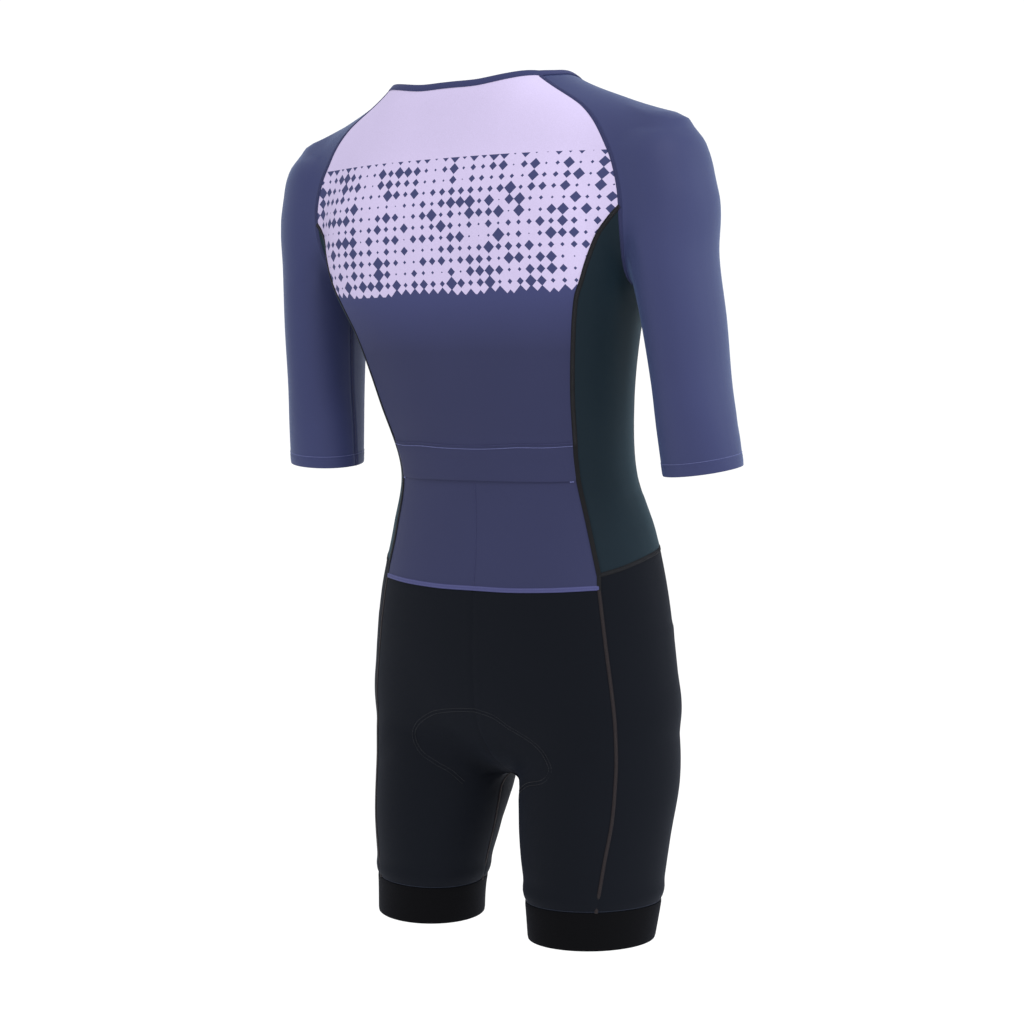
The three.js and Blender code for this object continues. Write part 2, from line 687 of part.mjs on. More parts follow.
place('back_upper', cloth(trimmed(backUpperGrid, 'tlr'), { lift: flapLift }), navy);
place('back_pocket', cloth(trimmed(backPocketGrid(), 'blr')), navy);
placePair('side', cloth(trimmed(sideGrid())), sideTeal);
placePair('front', cloth(trimmed(frontGrid())), navy);
placePair('sleeve', cloth(trimmed(sleeveGrid(), 'tlr')), sleeveNavy);
place('neck_binding', cloth(trimmed(bindingGrid(), 'blr'), {
  thickness: BINDING_WALL, lift: () => BINDING_LIFT,
}), navy);
place('zip_strip', cloth(trimmed(zipGrid(), 'tblr'), { thickness: ZIP_WALL }), blackBand);
placePair('shorts_back', cloth(trimmed(shortsBackGrid())), black);
placePair('shorts_front', cloth(trimmed(shortsFrontGrid())), black);
place('seat_pad', padGeometry(), foam);

// Slider and tab are drawn flat, with x across, y up along the zip and z out from it
const rectangle = (width, low, high) => [
  [-width / 2, low], [width / 2, low], [width / 2, high], [-width / 2, high],
].map(([x, y]) => new THREE.Vector2(x, y));
const solidOf = (geometry) => {
  const bare = geometry.clone();
  bare.deleteAttribute('normal');
  bare.deleteAttribute('uv');
  const merged = mergeVertices(bare, 1e-4);
  return new wasm.Manifold(new wasm.Mesh({
    numProp: 3,
    vertProperties: new Float32Array(merged.getAttribute('position').array),
    triVerts: new Uint32Array(merged.getIndex().array),
  }));
};
const geometryOf = (solid) => {
  const mesh = solid.getMesh();
  const geometry = new THREE.BufferGeometry();
  geometry.setAttribute('position', new THREE.BufferAttribute(mesh.vertProperties, 3));
  geometry.setIndex(new THREE.BufferAttribute(mesh.triVerts, 1));
  geometry.computeVertexNormals();
  return geometry;
};

function sliderGeometry() {
  const half = SLIDER.width / 2;
  const end = SLIDER.length / 2;
  const outline = new THREE.Shape([
    [-half, end - SLIDER.nose], [-half + SLIDER.shoulder, end],
    [half - SLIDER.shoulder, end], [half, end - SLIDER.nose],
    [half - SLIDER.waist, -end + SLIDER.foot], [half - SLIDER.nose, -end],
    [-half + SLIDER.nose, -end], [-half + SLIDER.waist, -end + SLIDER.foot],
  ].map(([x, y]) => new THREE.Vector2(x, y)));
  const plate = new THREE.ExtrudeGeometry(outline, { depth: SLIDER.thickness, bevelEnabled: false });
  const top = SLIDER.thickness;
  const reach = ARCH.length / 2;
  const open = ARCH.opening / 2;
  const inside = top + ARCH.clearHeight;
  const root = top - ARCH.rooted;
  const side = new THREE.Shape([
    [-reach, root], [-open, root], [-open, inside], [open, inside], [open, root],
    [reach, root], [reach, inside], [open, inside + ARCH.bar], [-open, inside + ARCH.bar], [-reach, inside],
  ].map(([y, z]) => new THREE.Vector2(y, z)));
  const arch = new THREE.ExtrudeGeometry(side, { depth: ARCH.width, bevelEnabled: false });
  arch.applyMatrix4(new THREE.Matrix4().set(
    0, 0, 1, -ARCH.width / 2, 1, 0, 0, 0, 0, 1, 0, 0, 0, 0, 0, 1));
  return geometryOf(solidOf(plate).add(solidOf(arch)));
}

// The tab's own origin is on the hinge, the middle of its cross bar
function tabGeometry() {
  const low = -TAB.length;
  const half = TAB.width / 2;
  const outline = new THREE.Shape([
    [-half, low + TAB.tip], [-half + TAB.corner, low], [half - TAB.corner, low],
    [half, low + TAB.tip], [half - TAB.taper, TAB.bar / 2], [-half + TAB.taper, TAB.bar / 2],
  ].map(([x, y]) => new THREE.Vector2(x, y)));
  outline.holes.push(new THREE.Path(rectangle(TAB.windowWidth, -TAB.windowEnd, -TAB.bar / 2).reverse()));
  return new THREE.ExtrudeGeometry(outline, { depth: TAB.thickness, bevelEnabled: false })
    .translate(0, 0, -TAB.thickness / 2);
}

// They sit on the zip's first cell below the neck
const zipDown = unit(sub(frontEdge[1], frontEdge[0]));
const zipOut = unit(cross(zipDown, [1, 0, 0]));
const cellMiddle = mix(frontEdge[0], frontEdge[1], 0.5);
const zipFrame = new THREE.Group();
zipFrame.position.set(0, cellMiddle[1] + zipOut[1] * SEAM_GAP, cellMiddle[2] + zipOut[2] * SEAM_GAP);
zipFrame.rotation.x = Math.atan2(-zipOut[1], zipOut[2]);
suit.add(zipFrame);

const gripper = (() => {
  const grid = gripperGrid();
  const pulled = [grid[0].map((p, i) => add(p, unit(sub(grid[1][i], p)), SEAM_GAP / 2)), grid[1]];
  const outer = offset(pulled, GRIPPER_LIFT);
  const inner = offset(pulled, GRIPPER_LIFT - GRIPPER_WALL);
  return wallBetween(outer, inner, true);
})();
placePair('leg_gripper', gripper, blackBand);

const slider = new THREE.Mesh(sliderGeometry(), hardware);
slider.name = 'zip_slider';
zipFrame.add(slider);
const tab = new THREE.Mesh(tabGeometry(), hardware);
tab.name = 'zip_pull';
tab.position.z = SLIDER.thickness + ARCH.clearHeight / 2;
zipFrame.add(tab);

export default suit;
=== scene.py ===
"""A short-sleeved triathlon suit in its worn shape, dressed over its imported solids.

Every cloth piece is a grid of points on one body form. The form is the least of a torso, two
arms, two legs and two shoulder bars, softly blended, and it is the form of the solids. Points
and sizes are worked out in millimetres and leave in metres.
"""

import bpy
import numpy as np
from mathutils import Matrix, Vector


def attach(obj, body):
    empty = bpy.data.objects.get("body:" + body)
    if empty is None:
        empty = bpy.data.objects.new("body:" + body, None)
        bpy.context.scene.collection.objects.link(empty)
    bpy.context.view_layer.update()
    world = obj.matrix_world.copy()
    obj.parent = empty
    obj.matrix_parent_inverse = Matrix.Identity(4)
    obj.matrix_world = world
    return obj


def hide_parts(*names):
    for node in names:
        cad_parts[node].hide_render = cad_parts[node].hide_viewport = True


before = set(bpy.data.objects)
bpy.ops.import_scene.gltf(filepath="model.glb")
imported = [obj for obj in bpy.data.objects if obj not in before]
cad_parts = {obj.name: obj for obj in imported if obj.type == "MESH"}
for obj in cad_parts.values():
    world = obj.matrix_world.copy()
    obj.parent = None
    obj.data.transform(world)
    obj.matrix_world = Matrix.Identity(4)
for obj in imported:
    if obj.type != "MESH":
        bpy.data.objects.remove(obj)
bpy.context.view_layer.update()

MM = 0.001
BODY = "suit"

# Cloth
WALL = 0.9
FLAP_LIFT = 1.9
FLAP_TOP_Z = -350
FLAP_FULL_Z = -372
FLAP_EDGE_EASE = 9
HEM_Z = -860
CUFF_Z = -384
ZIP_HALF = 4.5

# The form's tables, read at any height
TORSO = np.array([
    # z, middle y, half width, back, front, back squareness, front squareness
    [30, 3, 84, 58, 42, 2.0, 2.0],
    [0, 2, 85, 68, 52, 2.9, 2.0],
    [-20, 0, 105, 77, 60, 2.6, 2.0],
    [-45, -5, 147, 84, 70, 2.3, 2.0],
    [-80, -10, 166, 91, 84, 2.7, 2.1],
    [-130, -10, 176, 100, 104, 3.6, 2.1],
    [-190, -9, 169, 98, 114, 4.1, 2.1],
    [-250, -14, 152, 96, 110, 2.8, 2.1],
    [-320, -28, 138, 87, 102, 2.5, 2.1],
    [-390, -49, 130, 80, 97, 2.4, 2.1],
    [-450, -59, 147, 85, 102, 2.4, 2.1],
    [-520, -60, 163, 92, 105, 2.4, 2.1],
    [-590, -62, 170, 95, 104, 2.4, 2.1],
    [-640, -65, 168, 91, 97, 2.3, 2.1],
    [-674, -62, 134, 66, 72, 2.2, 2.1],
    [-692, -58, 80, 40, 44, 2.1, 2.0],
    [-703, -54, 24, 16, 16, 2.0, 2.0],
], float)
ARM = np.array([
    # z, x, y, wide, deep
    [-63, 203, 9, 8, 8],
    [-70, 204, 9, 19, 21],
    [-82, 203, 9, 29, 32],
    [-100, 205, 6, 36.5, 41.5],
    [-130, 209, 3, 44, 50],
    [-180, 210, 1, 40.5, 52.5],
    [-240, 217, -7, 37.5, 52],
    [-300, 222, -14, 35.5, 49],
    [-345, 226, -19, 38, 44],
    [-400, 231, -26, 40, 38],
], float)
LEG_TURN = np.radians(40)
LEG = np.array([
    # z, x, y, wide, deep
    [-560, 84, -68, 70, 66],
    [-640, 89, -67, 84, 80],
    [-700, 94, -60, 78, 83],
    [-760, 97, -46, 69, 78],
    [-825, 100, -38, 58, 70],
    [-875, 99, -34, 56, 63],
], float)
SHOULDER_FROM = np.array([72, 12, -41.0])
SHOULDER_TO = np.array([193, 3, -89.0])
SHOULDER_RADII = (44.5, 45)
SHOULDER_BLEND = 34
CHEST_BLEND = 36
ARMPIT_BLEND = 19
ARMPIT_Z = -190
ARMPIT_RUN = 50
CROTCH_BLEND = 12
HIP_BLEND = 22

# Seams of the wearer's left side, as points that lie close to the form
RAGLAN_BACK = [
    (88, 46, -10), (133, 47, -36), (152, 51, -53), (169, 55, -82),
    (176, 56, -101), (180, 55, -120), (181, 54, -136),
]
RAGLAN_FRONT = [(86, -34, -37), (116, -38, -56), (142, -42, -85), (158, -46, -118), (167, -47, -150)]
SIDE_BACK = [
    (181, 54, -136), (171, 56, -147), (161, 62, -164), (153, 66, -187), (147, 66, -205),
    (141, 65, -222), (129, 50, -267), (117, 32, -315), (109, 14, -360), (107, 10, -372),
]
SIDE_POCKET = [(106, 3, -396), (116, 0, -441), (128, 0, -489)]
SIDE_FRONT = [
    (167, -47, -150), (157, -56, -175), (146, -64, -215), (134, -68, -267),
    (118, -87, -354), (114, -100, -396), (124, -113, -441), (128, -116, -466),
]
ARMHOLE_BACK = [(181, 54, -136), (180, 50, -151), (178, 43, -167), (174, 31, -183), (171, 18, -194), (167, 0, -203)]
ARMHOLE_FRONT = [(167, 0, -203), (168, -18, -198), (167, -32, -185), (167, -41, -168), (167, -47, -150)]
NECK_BACK = [(0, 69, -17), (32, 67, -17), (62, 59, -14), (88, 46, -10)]
NECK_SIDE = [(88, 46, -10), (95, 28, -13), (95, 6, -19), (92, -14, -27), (86, -34, -37)]
NECK_FRONT = [(86, -34, -37), (70, -54, -52), (40, -74, -66), (ZIP_HALF, -84, -72)]
FLAP_EDGE = [(0, 29, -397), (50, 25, -397), (106, 3, -396)]
WAIST_BACK = [(0, 31, -508), (43, 29, -508), (90, 20, -506), (130, 3, -503)]
WAIST_SIDE = [(128, 0, -489), (143, -16, -483), (152, -40, -476), (146, -85, -469), (128, -116, -466)]
WAIST_FRONT = [(128, -116, -466), (90, -142, -464), (45, -157, -463), (ZIP_HALF, -162, -463)]
FLATLOCK = [
    (130, 3, -503), (137, 3, -553), (145, 0, -619), (146, -3, -654), (146, -3, -685),
    (145, 2, -730), (140, 8, -770), (132, 11, -822),
]
CENTRE_BACK = [(0, 31, -508), (0, 34, -568), (0, 28, -633), (0, 5, -680), (0, -25, -702), (0, -50, -706)]
CENTRE_FRONT = [
    (0, -162, -463), (0, -166, -560), (0, -158, -630), (0, -125, -680), (0, -85, -702), (0, -50, -706),
]
INSEAM = [(0, -50, -706), (18, -46, -722), (28, -44, -760), (40, -40, -822)]
FRONT_EDGE = [
    (0, -84, -72), (0, -94, -90), (0, -110, -130), (0, -122, -190), (0, -124, -250),
    (0, -130, -320), (0, -146, -390), (0, -161, -450), (0, -162, -463),
]
PAD_EDGE = [
    (22, 28, -633), (46, 23, -644), (66, 18, -656), (80, 18, -670), (82, 18, -682),
    (66, 15, -693), (40, -5, -712), (20, -45, -734), (34, -95, -712), (44, -130, -682), (30, -150, -645),
]
PAD_MIDDLE = [
    (0, 28, -631), (0, 20, -658), (0, 5, -680), (0, -25, -702), (0, -50, -706),
    (0, -85, -702), (0, -125, -680), (0, -155, -638),
]
PAD_STITCH_LEFT = [
    (0, 28, -631), (23, 28, -633), (50, 25, -638), (66, 21, -645), (78, 19, -654),
    (83, 17, -664), (75, 17, -679), (60, 14, -689), (44, 6, -699), (36, -4, -711),
]
PAD_STITCH_RIGHT = [
    (0, 28, -631), (-21, 27, -636), (-38, 22, -647), (-58, 17, -658), (-74, 17, -671),
    (-82, 19, -684), (-74, 19, -694), (-52, 11, -701), (-36, -8, -714),
]
SLEEVE_AXIS = [
    (70, 8, -44), (120, 10, -60), (163, 11, -84), (193, 9, -118), (208, 5, -160),
    (216, -2, -230), (222, -13, -300), (230, -24, -385), (233, -29, -420),
]

# Cells along each seam
RAGLAN, ARMHOLE, NECK_S, NECK_F, BACK, SIDE, FLAP, POCKET = 60, 26, 20, 34, 36, 92, 10, 34
WAIST_F, CORNER, CENTRE, INSEAM_CELLS, SLEEVE = 34, 5, 92, 40, 96


def through(knots, values, at):
    """A cubic through values at knots; the slope at a knot is the rise over the run between its neighbours."""
    knots = np.asarray(knots, float)
    values = np.asarray(values, float)
    last = len(knots) - 1
    before = np.maximum(np.arange(last + 1) - 1, 0)
    after = np.minimum(np.arange(last + 1) + 1, last)
    slope = (values[after] - values[before]) / (knots[after] - knots[before])[:, None]
    i = np.clip(np.searchsorted(knots, at) - 1, 0, last - 1)
    h = (knots[i + 1] - knots[i])[..., None]
    t = np.clip((at - knots[i])[..., None] / h, 0, 1)
    return (
        (2 * t**3 - 3 * t**2 + 1) * values[i]
        + (t**3 - 2 * t**2 + t) * h * slope[i]
        + (3 * t**2 - 2 * t**3) * values[i + 1]
        + (t**3 - t**2) * h * slope[i + 1]
    )


def read(table, z):
    """The table's columns after the first, at height z."""
    return np.moveaxis(through(-table[:, 0], table[:, 1:], -z), -1, 0)


def smooth(t):
    """3t^2 - 2t^3, held at 0 and 1 outside."""
    t = np.clip(t, 0, 1)
    return t * t * (3 - 2 * t)


def length(v):
    return np.linalg.norm(v, axis=-1)


def unit(v):
    return v / np.maximum(length(v), 1e-9)[..., None]


def from_outline(x, y, a, b, square):
    """Radius less the radius of the rounded square |x/a|^n + |y/b|^n = 1 in the same direction."""
    radius = np.hypot(x, y) + 1e-9
    scale = ((np.abs(x) / a) ** square + (np.abs(y) / b) ** square) ** (1 / square)
    return radius - radius / np.maximum(scale, 1e-6)


def torso_distance(p):
    z = p[..., 2]
    middle, half_width, back, front, back_square, front_square = read(TORSO, z)
    y = p[..., 1] - middle
    square = np.where(y > 0, back_square, front_square)
    d = from_outline(p[..., 0], y, half_width, np.where(y > 0, back, front), square)
    return np.maximum(d, TORSO[-1, 0] - z)


def arm_distance(p):
    z = p[..., 2]
    x, y, wide, deep = read(ARM, z)
    d = from_outline(p[..., 0] - x, p[..., 1] - y, wide, deep, 2)
    return np.maximum(np.maximum(d, z - ARM[0, 0]), ARM[-1, 0] - z)


def leg_distance(p):
    z = p[..., 2]
    x, y, wide, deep = read(LEG, z)
    dx, dy = p[..., 0] - x, p[..., 1] - y
    across = dx * np.cos(LEG_TURN) + dy * np.sin(LEG_TURN)
    along = -dx * np.sin(LEG_TURN) + dy * np.cos(LEG_TURN)
    return np.maximum(from_outline(across, along, wide, deep, 2), z - LEG[0, 0])


def shoulder_distance(p):
    bar = SHOULDER_TO - SHOULDER_FROM
    t = np.clip((p - SHOULDER_FROM) @ bar / (bar @ bar), 0, 1)
    radius = SHOULDER_RADII[0] + (SHOULDER_RADII[1] - SHOULDER_RADII[0]) * t
    return length(p - SHOULDER_FROM - t[..., None] * bar) - radius


def blend(a, b, width):
    """The lesser of two distances, less h^2 width / 4 where they differ by under width."""
    h = np.maximum(width - np.abs(a - b), 0) / width
    return np.minimum(a, b) - h * h * width / 4


def surface(p):
    """Distance from the worn form, below zero inside it."""
    right = p * np.array([-1, 1, 1])
    p = np.where(p[..., :1] < 0, right, p)
    upper = blend(shoulder_distance(p), arm_distance(p), SHOULDER_BLEND)
    legs = blend(leg_distance(p), leg_distance(p * np.array([-1, 1, 1])), CROTCH_BLEND)
    width = ARMPIT_BLEND + (CHEST_BLEND - ARMPIT_BLEND) * smooth((p[..., 2] - ARMPIT_Z) / ARMPIT_RUN)
    return blend(blend(torso_distance(p), upper, width), legs, HIP_BLEND)


def slope_at(p, h=0.5):
    steps = np.eye(3) * h
    return np.stack([(surface(p + e) - surface(p - e)) / (2 * h) for e in steps], -1)


def outward(p):
    return unit(slope_at(p))


def settle(p, rounds=6):
    """Moves points onto the form, a few Newton steps along its slope."""
    p = np.array(p, float)
    for _ in range(rounds):
        g = slope_at(p)
        step = np.clip(surface(p) / np.maximum((g * g).sum(-1), 0.2), -12, 12)
        p = p - g * step[..., None]
    return p


def arc(points):
    """Running length along a row of points."""
    return np.concatenate([[0], np.cumsum(length(np.diff(points, axis=0)))])


def evenly(points, count):
    run = arc(points)
    at = np.linspace(0, run[-1], count + 1)
    return np.stack([np.interp(at, run, points[:, k]) for k in range(3)], -1)


def seam(points, count):
    """count + 1 evenly spaced points on the form, near a cubic through the given ones."""
    points = np.array(points, float)
    knots = arc(points)
    fine = through(knots, points, np.linspace(0, knots[-1], 24 * (len(points) - 1) + 1))
    even = evenly(fine, count)
    settled = settle(even, 9)
    settled[np.abs(even[:, 0]) < 1e-6, 0] = 0
    return settled


def joined(*parts):
    return np.concatenate([parts[0]] + [part[1:] for part in parts[1:]])


def mirrored(p):
    return np.asarray(p) * np.array([-1, 1, 1])


def upright(axis):
    """A chart that turns points into (angle, height, radius) about an upright axis, and back."""
    def to(p):
        x, y = axis(p[..., 2])
        return np.stack([np.arctan2(p[..., 1] - y, p[..., 0] - x), p[..., 2], np.hypot(p[..., 0] - x, p[..., 1] - y)], -1)

    def back(c):
        x, y = axis(c[..., 1])
        return np.stack([x + c[..., 2] * np.cos(c[..., 0]), y + c[..., 2] * np.sin(c[..., 0]), c[..., 1]], -1)

    return to, back


TORSO_CHART = upright(lambda z: (0 * z, read(TORSO, z)[0]))
LEG_CHART = upright(lambda z: read(LEG, z)[:2])


def sleeve_chart():
    """As upright, about the sleeve's bent axis: (angle from the top, place along, radius)."""
    knots = np.arange(len(SLEEVE_AXIS))
    line = through(knots, SLEEVE_AXIS, np.linspace(0, knots[-1], 60 * knots[-1] + 1))
    ends = np.minimum(np.arange(len(line)) + 7, len(line) - 1), np.maximum(np.arange(len(line)) - 6, 0)
    along = unit(line[ends[0]] - line[ends[1]])
    back_way = unit(np.array([0, 1, 0]) - along * along[:, 1:2])
    top_way = np.cross(along, back_way)

    def at(s, values):
        i = np.clip(np.floor(s).astype(int), 0, len(line) - 2)
        t = (s - i)[..., None]
        return values[i] * (1 - t) + values[i + 1] * t

    def to(p):
        d = ((p[:, None] - line[None]) * along[None]).sum(-1)
        crossing = (d[:, :-1] >= 0) & (d[:, 1:] < 0)
        near = np.where(crossing, length(p[:, None] - line[None, :-1]), 1e9).argmin(1)
        row = np.arange(len(p))
        s = near + d[row, near] / (d[row, near] - d[row, near + 1])
        v = p - at(s, line)
        return np.stack([np.arctan2((v * at(s, back_way)).sum(-1), (v * at(s, top_way)).sum(-1)), s, length(v)], -1)

    def back(c):
        angle = c[..., :1]
        around = np.cos(angle) * at(c[..., 1], top_way) + np.sin(angle) * at(c[..., 1], back_way)
        return at(c[..., 1], line) + around * c[..., 2:]

    return to, back


SLEEVE_CHART = sleeve_chart()


def charted(points, chart, near):
    """Chart values along a row of points, with the angle followed without a jump from near."""
    c = chart[0](points)
    c[:, 0] = np.unwrap(c[:, 0])
    c[:, 0] += 2 * np.pi * np.round((near - c[0, 0]) / (2 * np.pi))
    return c


def fill(top, bottom, left, right, chart, near):
    """A panel's points: left and right mixed across, plus top and bottom mixed down, less the
    corners mixed both ways, in chart values, then settled on the form."""
    t = charted(top, chart, near)
    l = charted(left, chart, t[0, 0])
    r = charted(right, chart, t[-1, 0])
    b = charted(bottom, chart, l[-1, 0])
    u = np.linspace(0, 1, len(top))[None, :, None]
    v = np.linspace(0, 1, len(left))[:, None, None]
    value = (1 - u) * l[:, None] + u * r[:, None] + (1 - v) * t[None] + v * b[None]
    value = value - (1 - v) * ((1 - u) * t[0] + u * t[-1]) - v * ((1 - u) * b[0] + u * b[-1])
    grid = settle(chart[1](value))
    grid[0], grid[-1], grid[:, 0], grid[:, -1] = top, bottom, left, right
    return grid


# Seams, sampled once and shared by the panels on both their sides
raglan_back = seam(RAGLAN_BACK, RAGLAN)
raglan_front = seam(RAGLAN_FRONT, RAGLAN)
side_back = seam(SIDE_BACK, SIDE)
side_flap = seam([SIDE_BACK[-1], SIDE_POCKET[0]], FLAP)
side_pocket = seam(SIDE_POCKET, POCKET)
side_corner = seam([SIDE_POCKET[2], FLATLOCK[0]], CORNER)
side_front = seam(SIDE_FRONT, SIDE + FLAP + POCKET)
armhole_back = seam(ARMHOLE_BACK, ARMHOLE)
armhole_front = seam(ARMHOLE_FRONT, ARMHOLE)
neck_back = seam(NECK_BACK, BACK)
neck_side = seam(NECK_SIDE, NECK_S)
waist_back = seam(WAIST_BACK, BACK)
waist_side = seam(WAIST_SIDE, 2 * ARMHOLE)
flatlock = seam(FLATLOCK, CENTRE + INSEAM_CELLS)
centre_back = seam(CENTRE_BACK, CENTRE)
centre_front = seam(CENTRE_FRONT, CENTRE + CORNER)
inseam = seam(INSEAM, INSEAM_CELLS)
flap_edge = seam(FLAP_EDGE, BACK)
front_edge = seam(FRONT_EDGE, RAGLAN + SIDE + FLAP + POCKET)
front_edge = settle(np.column_stack([np.full(len(front_edge), ZIP_HALF), front_edge[:, 1:]]))
neck_front = seam(NECK_FRONT, NECK_F)
neck_front[-1] = front_edge[0]
waist_front = seam(WAIST_FRONT, WAIST_F)
waist_front[-1] = front_edge[-1]
back_side = joined(raglan_back, side_back, side_flap)


def whole(half):
    """Both halves of a seam that starts on the middle, from the wearer's right to the left."""
    return joined(mirrored(half[::-1]), half)


def turned(grid):
    """The same panel on the wearer's right, with its columns in the other order."""
    return mirrored(grid)[:, ::-1]


# Panels, as grids of points on the form
back_upper = fill(whole(neck_back), whole(flap_edge), mirrored(back_side), back_side, TORSO_CHART, np.pi * 0.8)
pocket_side = joined(side_pocket, side_corner)
back_pocket = fill(
    whole(flap_edge), whole(waist_back), mirrored(pocket_side), pocket_side, TORSO_CHART, np.pi * 0.8)
side_panel = fill(
    joined(armhole_back, armhole_front), waist_side, joined(side_back, side_flap, side_pocket), side_front,
    TORSO_CHART, 0)
front_panel = fill(
    neck_front, waist_front, joined(raglan_front, side_front), front_edge, TORSO_CHART, -np.pi * 0.3)


def gripper_seam():
    """The gripper's top seam, once round the leg from the inseam over the back to the inseam."""
    start = charted(np.array([INSEAM[3]], float), LEG_CHART, np.pi)[0]
    flat = charted(np.array([FLATLOCK[7]], float), LEG_CHART, np.pi / 4)[0]
    angles = np.concatenate([
        np.linspace(start[0], flat[0], BACK + 1),
        np.linspace(flat[0], start[0] - 2 * np.pi, 2 * ARMHOLE + WAIST_F + 2)[1:],
    ])
    z = FLATLOCK[7][2]
    points = settle(LEG_CHART[1](np.stack([angles, np.full(len(angles), z), np.full(len(angles), start[2])], -1)))
    points[0] = points[-1] = inseam[-1]
    points[BACK] = flatlock[-1]
    return points


gripper_top = gripper_seam()
shorts_back = fill(
    waist_back, gripper_top[:BACK + 1], joined(centre_back, inseam), flatlock, LEG_CHART, np.pi * 0.7)
middle_front = centre_front[:1]
shorts_front = fill(
    np.concatenate([joined(waist_side, waist_front), middle_front]), gripper_top[BACK:],
    joined(side_corner, flatlock), joined(centre_front, inseam), LEG_CHART, 0.3)


def sleeve_grid():
    top = joined(armhole_back[::-1], raglan_back[::-1], neck_side, raglan_front, armhole_front[::-1])
    columns = len(top) - 1
    cuff_at = charted(np.array([[230, -24, CUFF_Z]], float), SLEEVE_CHART, 0)[0, 1]
    angle = np.pi * (1 - 2 * np.arange(columns + 1) / columns)
    cuff = settle(SLEEVE_CHART[1](np.stack([angle, np.full(columns + 1, cuff_at), np.full(columns + 1, 38)], -1)), 9)
    armpit = charted(top[:1], SLEEVE_CHART, np.pi)[0]
    s = np.linspace(armpit[1], cuff_at, SLEEVE + 1)
    under = settle(SLEEVE_CHART[1](np.stack([np.full(len(s), np.pi), s, np.full(len(s), 40)], -1)), 9)
    under[0] = top[0]
    return fill(top, cuff, under, under, SLEEVE_CHART, np.pi)


sleeve = sleeve_grid()


# Soft folds: path, depth and half width
FOLDS = [
    ([(188, 46, -168), (194, 48, -186), (198, 44, -206)], 0.9, 7),
    ([(172, -30, -206), (158, -60, -226), (140, -84, -240)], 0.5, 8),
    ([(190, -44, -170), (200, -50, -204), (208, -54, -236)], 0.5, 9),
    ([(232, 20, -330), (214, 26, -340), (196, 6, -344)], 0.5, 7),
    ([(246, -44, -334), (258, -30, -346), (262, -12, -352)], 0.4, 7),
    ([(118, -70, -404), (96, -110, -412), (60, -134, -418)], 0.7, 8),
    ([(112, -84, -380), (84, -116, -388), (48, -134, -392)], 0.5, 8),
    ([(132, -30, -418), (124, -66, -412), (112, -92, -404)], 0.5, 8),
    ([(20, -20, -714), (46, 10, -706), (76, 22, -692)], 0.7, 7),
    ([(24, -60, -724), (56, -108, -700), (92, -132, -664)], 1.0, 8),
    ([(20, -80, -704), (56, -128, -668), (96, -146, -630)], 0.7, 8),
    ([(34, -52, -760), (60, -96, -760), (92, -116, -750)], 0.5, 9),
    ([(100, 34, -806), (68, 20, -800), (46, -10, -796)], 0.4, 8),
    ([(66, 18, -664), (108, 16, -671), (140, 4, -686)], 1.1, 12),
]


def folds_at(p):
    """Each fold is a trough, -depth exp(-(d/w)^2), with a lower ridge on each side; d is the
    distance from its path and its depth fades to nothing at both ends."""
    flat = p.reshape(-1, 3)
    height = np.zeros(len(flat))
    for points, depth, width in FOLDS:
        for path in (seam(points, 24), mirrored(seam(points, 24))):
            centre = path.mean(0)
            near = length(flat - centre) < length(path - centre).max() + 4 * width
            gap = length(flat[near][:, None] - path[None])
            nearest = gap.argmin(1)
            d = gap[np.arange(len(gap)), nearest]
            fade = np.sin(np.pi * np.arange(25) / 24) ** 0.8
            ridge = 0.45 * np.exp(-((d - 1.7 * width) / width) ** 2)
            height[near] += depth * fade[nearest] * (ridge - np.exp(-(d / width) ** 2))
    return height.reshape(p.shape[:-1])


def swell(p):
    """The thigh swells above the elastic gripper, which holds the cloth in at its own top."""
    z = p[..., 2]
    on_leg = z < -760
    bulge = 1.5 * np.exp(-((z + 812) / 7) ** 2) - 0.9 * np.exp(-((z + 823) / 3) ** 2)
    return np.where(on_leg, bulge, 0)


def edge_distances(grid):
    """Running lengths from the left, right, top and bottom edges of a grid."""
    across = np.cumsum(np.pad(length(np.diff(grid, axis=1)), ((0, 0), (1, 0))), 1)
    down = np.cumsum(np.pad(length(np.diff(grid, axis=0)), ((1, 0), (0, 0))), 0)
    return {"l": across, "r": across[:, -1:] - across, "t": down, "b": down[-1:] - down}


def dip(d, depth=0.55, width=2.2):
    """A seam draws the cloth in: -depth exp(-(d/width)^2), with a slight roll beside it."""
    return -depth * np.exp(-(d / width) ** 2) + 0.18 * np.exp(-((d - 4.5) / 2.2) ** 2)


def grid_faces(rows, columns, round_rows=False, round_columns=False):
    """Quads between the rows and columns of a grid of points."""
    j, i = np.meshgrid(
        np.arange(rows - (not round_rows)), np.arange(columns - (not round_columns)), indexing="ij")
    after_j, after_i = (j + 1) % rows, (i + 1) % columns
    corners = [j * columns + i, after_j * columns + i, after_j * columns + after_i, j * columns + after_i]
    return np.stack(corners, -1).reshape(-1, 4)


